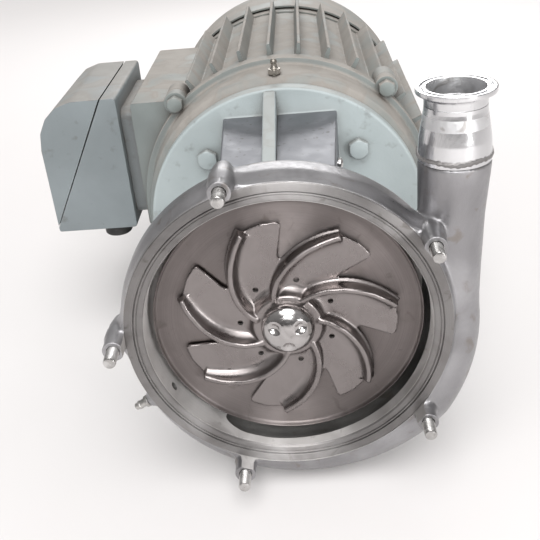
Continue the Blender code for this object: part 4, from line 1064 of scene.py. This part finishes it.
def make_frame():
    outline = frame_outline()
    body = holder("finned_frame", prism(outline, FRAME_FRONT, FRAME_BACK), PAINT_MOTOR)
    bore = rod(0.1498, FRAME_FRONT - 0.01, FRAME_BACK + 0.01, 96)
    combine(body, bore, "DIFFERENCE", PAINT_MOTOR)
    places = [polar(BELL_BOLT_CIRCLE, angle) for angle in BELL_BOLT_ANGLES]
    lug = rounded([(0, FRAME_FRONT + 0.0005), (0.0130, FRAME_FRONT + 0.0005), (0.0130, FRAME_FRONT + 0.0295),
                   (0, FRAME_FRONT + 0.0295)],
                  [0, 0.0006, 0.006, 0], 5)
    combine(body, gather([turned(lug, 40, centre=place) for place in places]), "UNION", PAINT_MOTOR)
    holes = [rod(0.0056, FRAME_FRONT - 0.01, FRAME_FRONT + 0.024, 24, place) for place in places]
    for x in (-0.152, 0.152):
        for y in (FRAME_FRONT + 0.030, FRAME_BACK - 0.030):
            hole = rod(0.0060, -0.195, -0.150, 24)
            holes.append(placed(hole, upright(x, y)))
    combine(body, gather(holes), "DIFFERENCE", PAINT_MOTOR)
    fit(body, PUMP, ["motor_frame"], 30)


def make_rear():
    profile = rounded([
        (0.024, 0.572), (0.060, 0.572), (0.150, 0.563), (0.158, 0.575), (0.1645, 0.575), (0.1645, 0.5403),
        (0.148, 0.5403), (0.146, 0.553), (0.052, 0.560), (0.052, 0.545), (0.0408, 0.545), (0.0408, 0.5655),
        (0.024, 0.5655)],
        [0, 0.003, 0.003, 0.002, 0, 0.0015, 0, 0.002, 0, 0, 0, 0, 0], 4, closed=True)
    piece("rear_bell", turned(profile, 128, ring=True), PAINT_MOTOR, PUMP, ["rear_end_bell"])
    cover = rounded([(0.1690, 0.5532), (0.1690, 0.675), (0.020, 0.675), (0.020, 0.6725), (0.1665, 0.6725),
                     (0.1665, 0.5532)],
                    [0.0004, 0.030, 0.0008, 0.0004, 0.0275, 0.0004], 10, closed=True)
    cover = holder("fan_cowl", turned(cover, 160, ring=True), PAINT_MOTOR)
    slots = []
    for index in range(8):
        angle = 2 * pi * (index + 0.5) / 8
        out = Vector((cos(angle), sin(angle)))
        side = Vector((-out.y, out.x))
        for near, far, half in ((0.036, 0.074, 0.0080), (0.084, 0.128, 0.0190)):
            corners = [out * near - side * half, out * far - side * half, out * far + side * half,
                       out * near + side * half]
            slots.append(prism(rounded([tuple(corner) for corner in corners], 0.004, 4, closed=True), 0.665,
                               0.685))
    combine(cover, gather(slots), "DIFFERENCE", PAINT_MOTOR)
    fit(cover, PUMP, ["fan_cover"])


def make_conduit_box():
    base = rounded([(-0.186, -0.025), (-0.186, 0.135), (-0.2030, 0.135), (BOX_LEFT, -0.0190),
                    (BOX_LEFT, -0.025)],
                   [0.004, 0.0045, 0.0004, 0.0004, 0.004], 4, closed=True)
    body = holder("conduit_body", prism(base, BOX_FRONT, BOX_BACK), PAINT_BOX)
    bevel(body, 0.0012, 3, 50)
    collar = prism(rounded([(0.305, -0.014), (0.440, -0.014), (0.440, 0.116), (0.305, 0.116)], 0.012, 5,
                           closed=True), -0.188, -0.1723, "X")
    combine(body, collar, "UNION", PAINT_BOX)
    wall = 0.0035
    room = [(-0.186 - wall, -0.025 + wall), (-0.186 - wall, 0.135 - wall), (BOX_LEFT + wall, 0.135 - wall),
            (BOX_LEFT + wall, -0.025 + wall)]
    combine(body, prism(room, BOX_FRONT + wall, BOX_BACK - wall), "DIFFERENCE", PAINT_BOX)
    lead = ring_of((0.373, 0.055), 0.018, 32)
    combine(body, prism(lead, -0.200, -0.165, "X"), "DIFFERENCE", PAINT_BOX)
    entry = placed(rod(0.0123, -0.035, -0.015, 32), upright(*PLUG_AT))
    combine(body, entry, "DIFFERENCE", PAINT_BOX)
    fit(body, PUMP, ["conduit_box"])
    lean = Vector((BOX_LEFT + 0.203, -0.154)).normalized()
    shift = Vector((-lean.y, lean.x)) * -0.0011
    top = Vector((-0.203, 0.135)) + shift
    low = Vector((BOX_LEFT, -0.019)) + shift
    lid = rounded([(BOX_LEFT, low.y + 0.0010), (top.x - 0.0006, 0.135), (-0.238, 0.135), (-0.256, 0.129),
                   (-0.270, 0.117), (-0.279, 0.100), (BOX_LEFT, 0.080)],
                   [0.0004, 0.0004, 0.02, 0.01, 0.01, 0.01, 0.02], 4, closed=True)
    cover = holder("conduit_lid", prism(lid, BOX_FRONT, BOX_BACK), PAINT_BOX)
    bevel(cover, 0.0016, 3, 50)
    inner = [(BOX_LEFT + wall, -0.035), (-0.150, -0.035), (-0.150, 0.135 - wall), (-0.240, 0.135 - wall),
             (-0.258, 0.123), (-0.272, 0.104), (BOX_LEFT + wall, 0.080)]
    combine(cover, prism(inner, BOX_FRONT + wall, BOX_BACK - wall), "DIFFERENCE", PAINT_BOX)
    holes = []
    for y in LID_SCREW_ROWS:
        ring = ring_of((y, LID_SCREW_Z), 0.0027, 16)
        holes.append(prism(ring, BOX_LEFT - 0.006, BOX_LEFT + 0.010, "X"))
    combine(cover, gather(holes), "DIFFERENCE", PAINT_BOX)
    fit(cover, PUMP, ["conduit_cover"])
    for index, y in enumerate(LID_SCREW_ROWS):
        head = rounded([(0, -0.0030), (0.0045, -0.0030), (0.0045, -0.0003), (0.0024, -0.0003),
                        (0.0024, 0.010), (0, 0.010)],
                       [0, 0.0016, 0.0002, 0, 0.0003, 0], 4)
        screw = holder(f"lid_screw_{index + 1}", turned(head, 32), SCREW_STEEL)
        slot = prism([(-0.0005, -0.006), (0.0005, -0.006), (0.0005, 0.006), (-0.0005, 0.006)], -0.0040,
                     -0.0019)
        combine(screw, slot, "DIFFERENCE", CHANNEL)
        screw.data.transform(
            Matrix.Translation((BOX_LEFT, y, LID_SCREW_Z)) @ Matrix.Rotation(-pi / 2, 4, "Z"))
        fit(screw, PUMP, [f"cover_screw_{index + 1}"])
    profile = rounded([(0, -0.0380), (0.0150, -0.0380), (0.0165, -0.0360), (0.0165, -0.0253),
                       (0.0120, -0.0253), (0.0120, -0.0170), (0, -0.0170)],
                      [0, 0.002, 0.001, 0.0008, 0, 0.001, 0], 4)
    plug = holder("entry_stopper", placed(turned(profile, 48), upright(*PLUG_AT)), RUBBER)
    fit(plug, PUMP, ["entry_plug"])


def dress_inner_parts():
    """The parts inside keep their CAD shape and get finishes of their own."""
    looks = {
        SHAFT_STEEL: ["stub_shaft", "motor_shaft", "impeller_key", "seal_spring", "seal_collar",
                      "front_bearing_balls", "front_bearing_inner_race", "front_bearing_outer_race",
                      "rear_bearing_balls", "rear_bearing_inner_race", "rear_bearing_outer_race"],
        SCREW_STEEL: [f"casing_screw_{index}" for index in range(1, 5)],
        RUBBER: ["casing_oring", "nut_oring", "slinger"],
        CARBON: ["seal_ring"],
        CERAMIC: ["seal_seat"],
        COPPER: ["stator_winding"],
        IRON: ["stator_core"],
        ALUMINIUM: ["rotor", "cooling_fan"],
    }
    for look, names in looks.items():
        for name in names:
            slots = frame["nodes"][name].data.materials
            for index in range(len(slots)):
                slots[index] = look


# ---- floor, light and camera ----------------------------------------------------------------------

def aim(obj, target):
    obj.rotation_euler = (Vector(target) - obj.location).to_track_quat("-Z", "Y").to_euler()


def softbox(name, place, target, width, height, power):
    lamp = bpy.data.lights.new(name, "AREA")
    lamp.shape = "RECTANGLE"
    lamp.size = width
    lamp.size_y = height
    lamp.energy = power
    obj = bpy.data.objects.new(name, lamp)
    obj.location = place
    bpy.context.scene.collection.objects.link(obj)
    aim(obj, target)


def make_stage():
    floor = Finish("floor", 0.0, 0.85)
    floor.colour(floor.blend(floor.noise(3.0), (0.72, 0.70, 0.695), (0.74, 0.72, 0.714)))
    ground = holder("floor", capped([[(-9, -9, z), (9, -9, z), (9, 9, z), (-9, 9, z)] for z in (-0.02, 0.0)]),
                    floor.material)
    scene = bpy.context.scene
    scene.world = bpy.data.worlds.new("studio")
    scene.world.use_nodes = True
    nodes = scene.world.node_tree.nodes
    sky = nodes["Background"]
    links = scene.world.node_tree.links
    place = nodes.new("ShaderNodeTexCoord")
    split = nodes.new("ShaderNodeSeparateXYZ")
    height = nodes.new("ShaderNodeMapRange")
    links.new(place.outputs["Generated"], split.inputs[0])
    links.new(split.outputs["Z"], height.inputs["Value"])
    links.new(height.outputs["Result"], sky.inputs["Strength"])
    height.inputs["From Min"].default_value = 0.0
    height.inputs["From Max"].default_value = 0.9
    height.inputs["To Min"].default_value = 0.18
    height.inputs["To Max"].default_value = 0.60
    sky.inputs["Color"].default_value = (1.0, 0.985, 0.98, 1.0)
    target = (0.03, -0.20, 0.18)
    sun = bpy.data.lights.new("window_wall", "SUN")
    sun.energy = 2.1
    sun.angle = radians(50)
    window = bpy.data.objects.new("window_wall", sun)
    window.location = (0.05, -1.50, 2.7)
    scene.collection.objects.link(window)
    aim(window, target)
    softbox("back_box", (0.15, 1.9, 1.20), target, 1.3, 0.45, 13)
    softbox("front_box", (0.05, -2.0, 1.15), target, 0.8, 0.26, 17)
    softbox("right_box", (1.30, -1.75, 0.45), target, 0.3, 0.35, 8)


def make_camera():
    yaw = radians(-3.93)
    pitch = radians(28.81)
    roll = radians(-5.60)
    ahead = Vector((sin(yaw) * cos(pitch), cos(yaw) * cos(pitch), -sin(pitch)))
    level = Vector((cos(yaw), -sin(yaw), 0))
    above = level.cross(ahead)
    right = level * cos(roll) + above * sin(roll)
    up = above * cos(roll) - level * sin(roll)
    lens = bpy.data.cameras.new("camera")
    lens.sensor_width = 36
    lens.lens = 54.79
    lens.clip_start = 0.01
    lens.clip_end = 40
    lens.dof.use_dof = False
    camera = bpy.data.objects.new("camera", lens)
    bpy.context.scene.collection.objects.link(camera)
    turn = Matrix((right, up, -ahead)).transposed().to_4x4()
    camera.matrix_world = Matrix.Translation(ORIGIN + Vector(CAMERA_AT)) @ turn
    bpy.context.scene.camera = camera


make_casing()
for stud_number, stud_angle in enumerate(STUD_ANGLES):
    thread_stud(stud_number + 1, stud_angle)
make_drain_plug()
make_discharge()
make_back_plate()
make_impeller()
make_nut()
make_adapter()
make_guards()
make_front_bell()
make_frame()
make_rear()
make_conduit_box()
dress_inner_parts()
make_stage()
make_camera()
bpy.context.scene.view_settings.view_transform = "Standard"
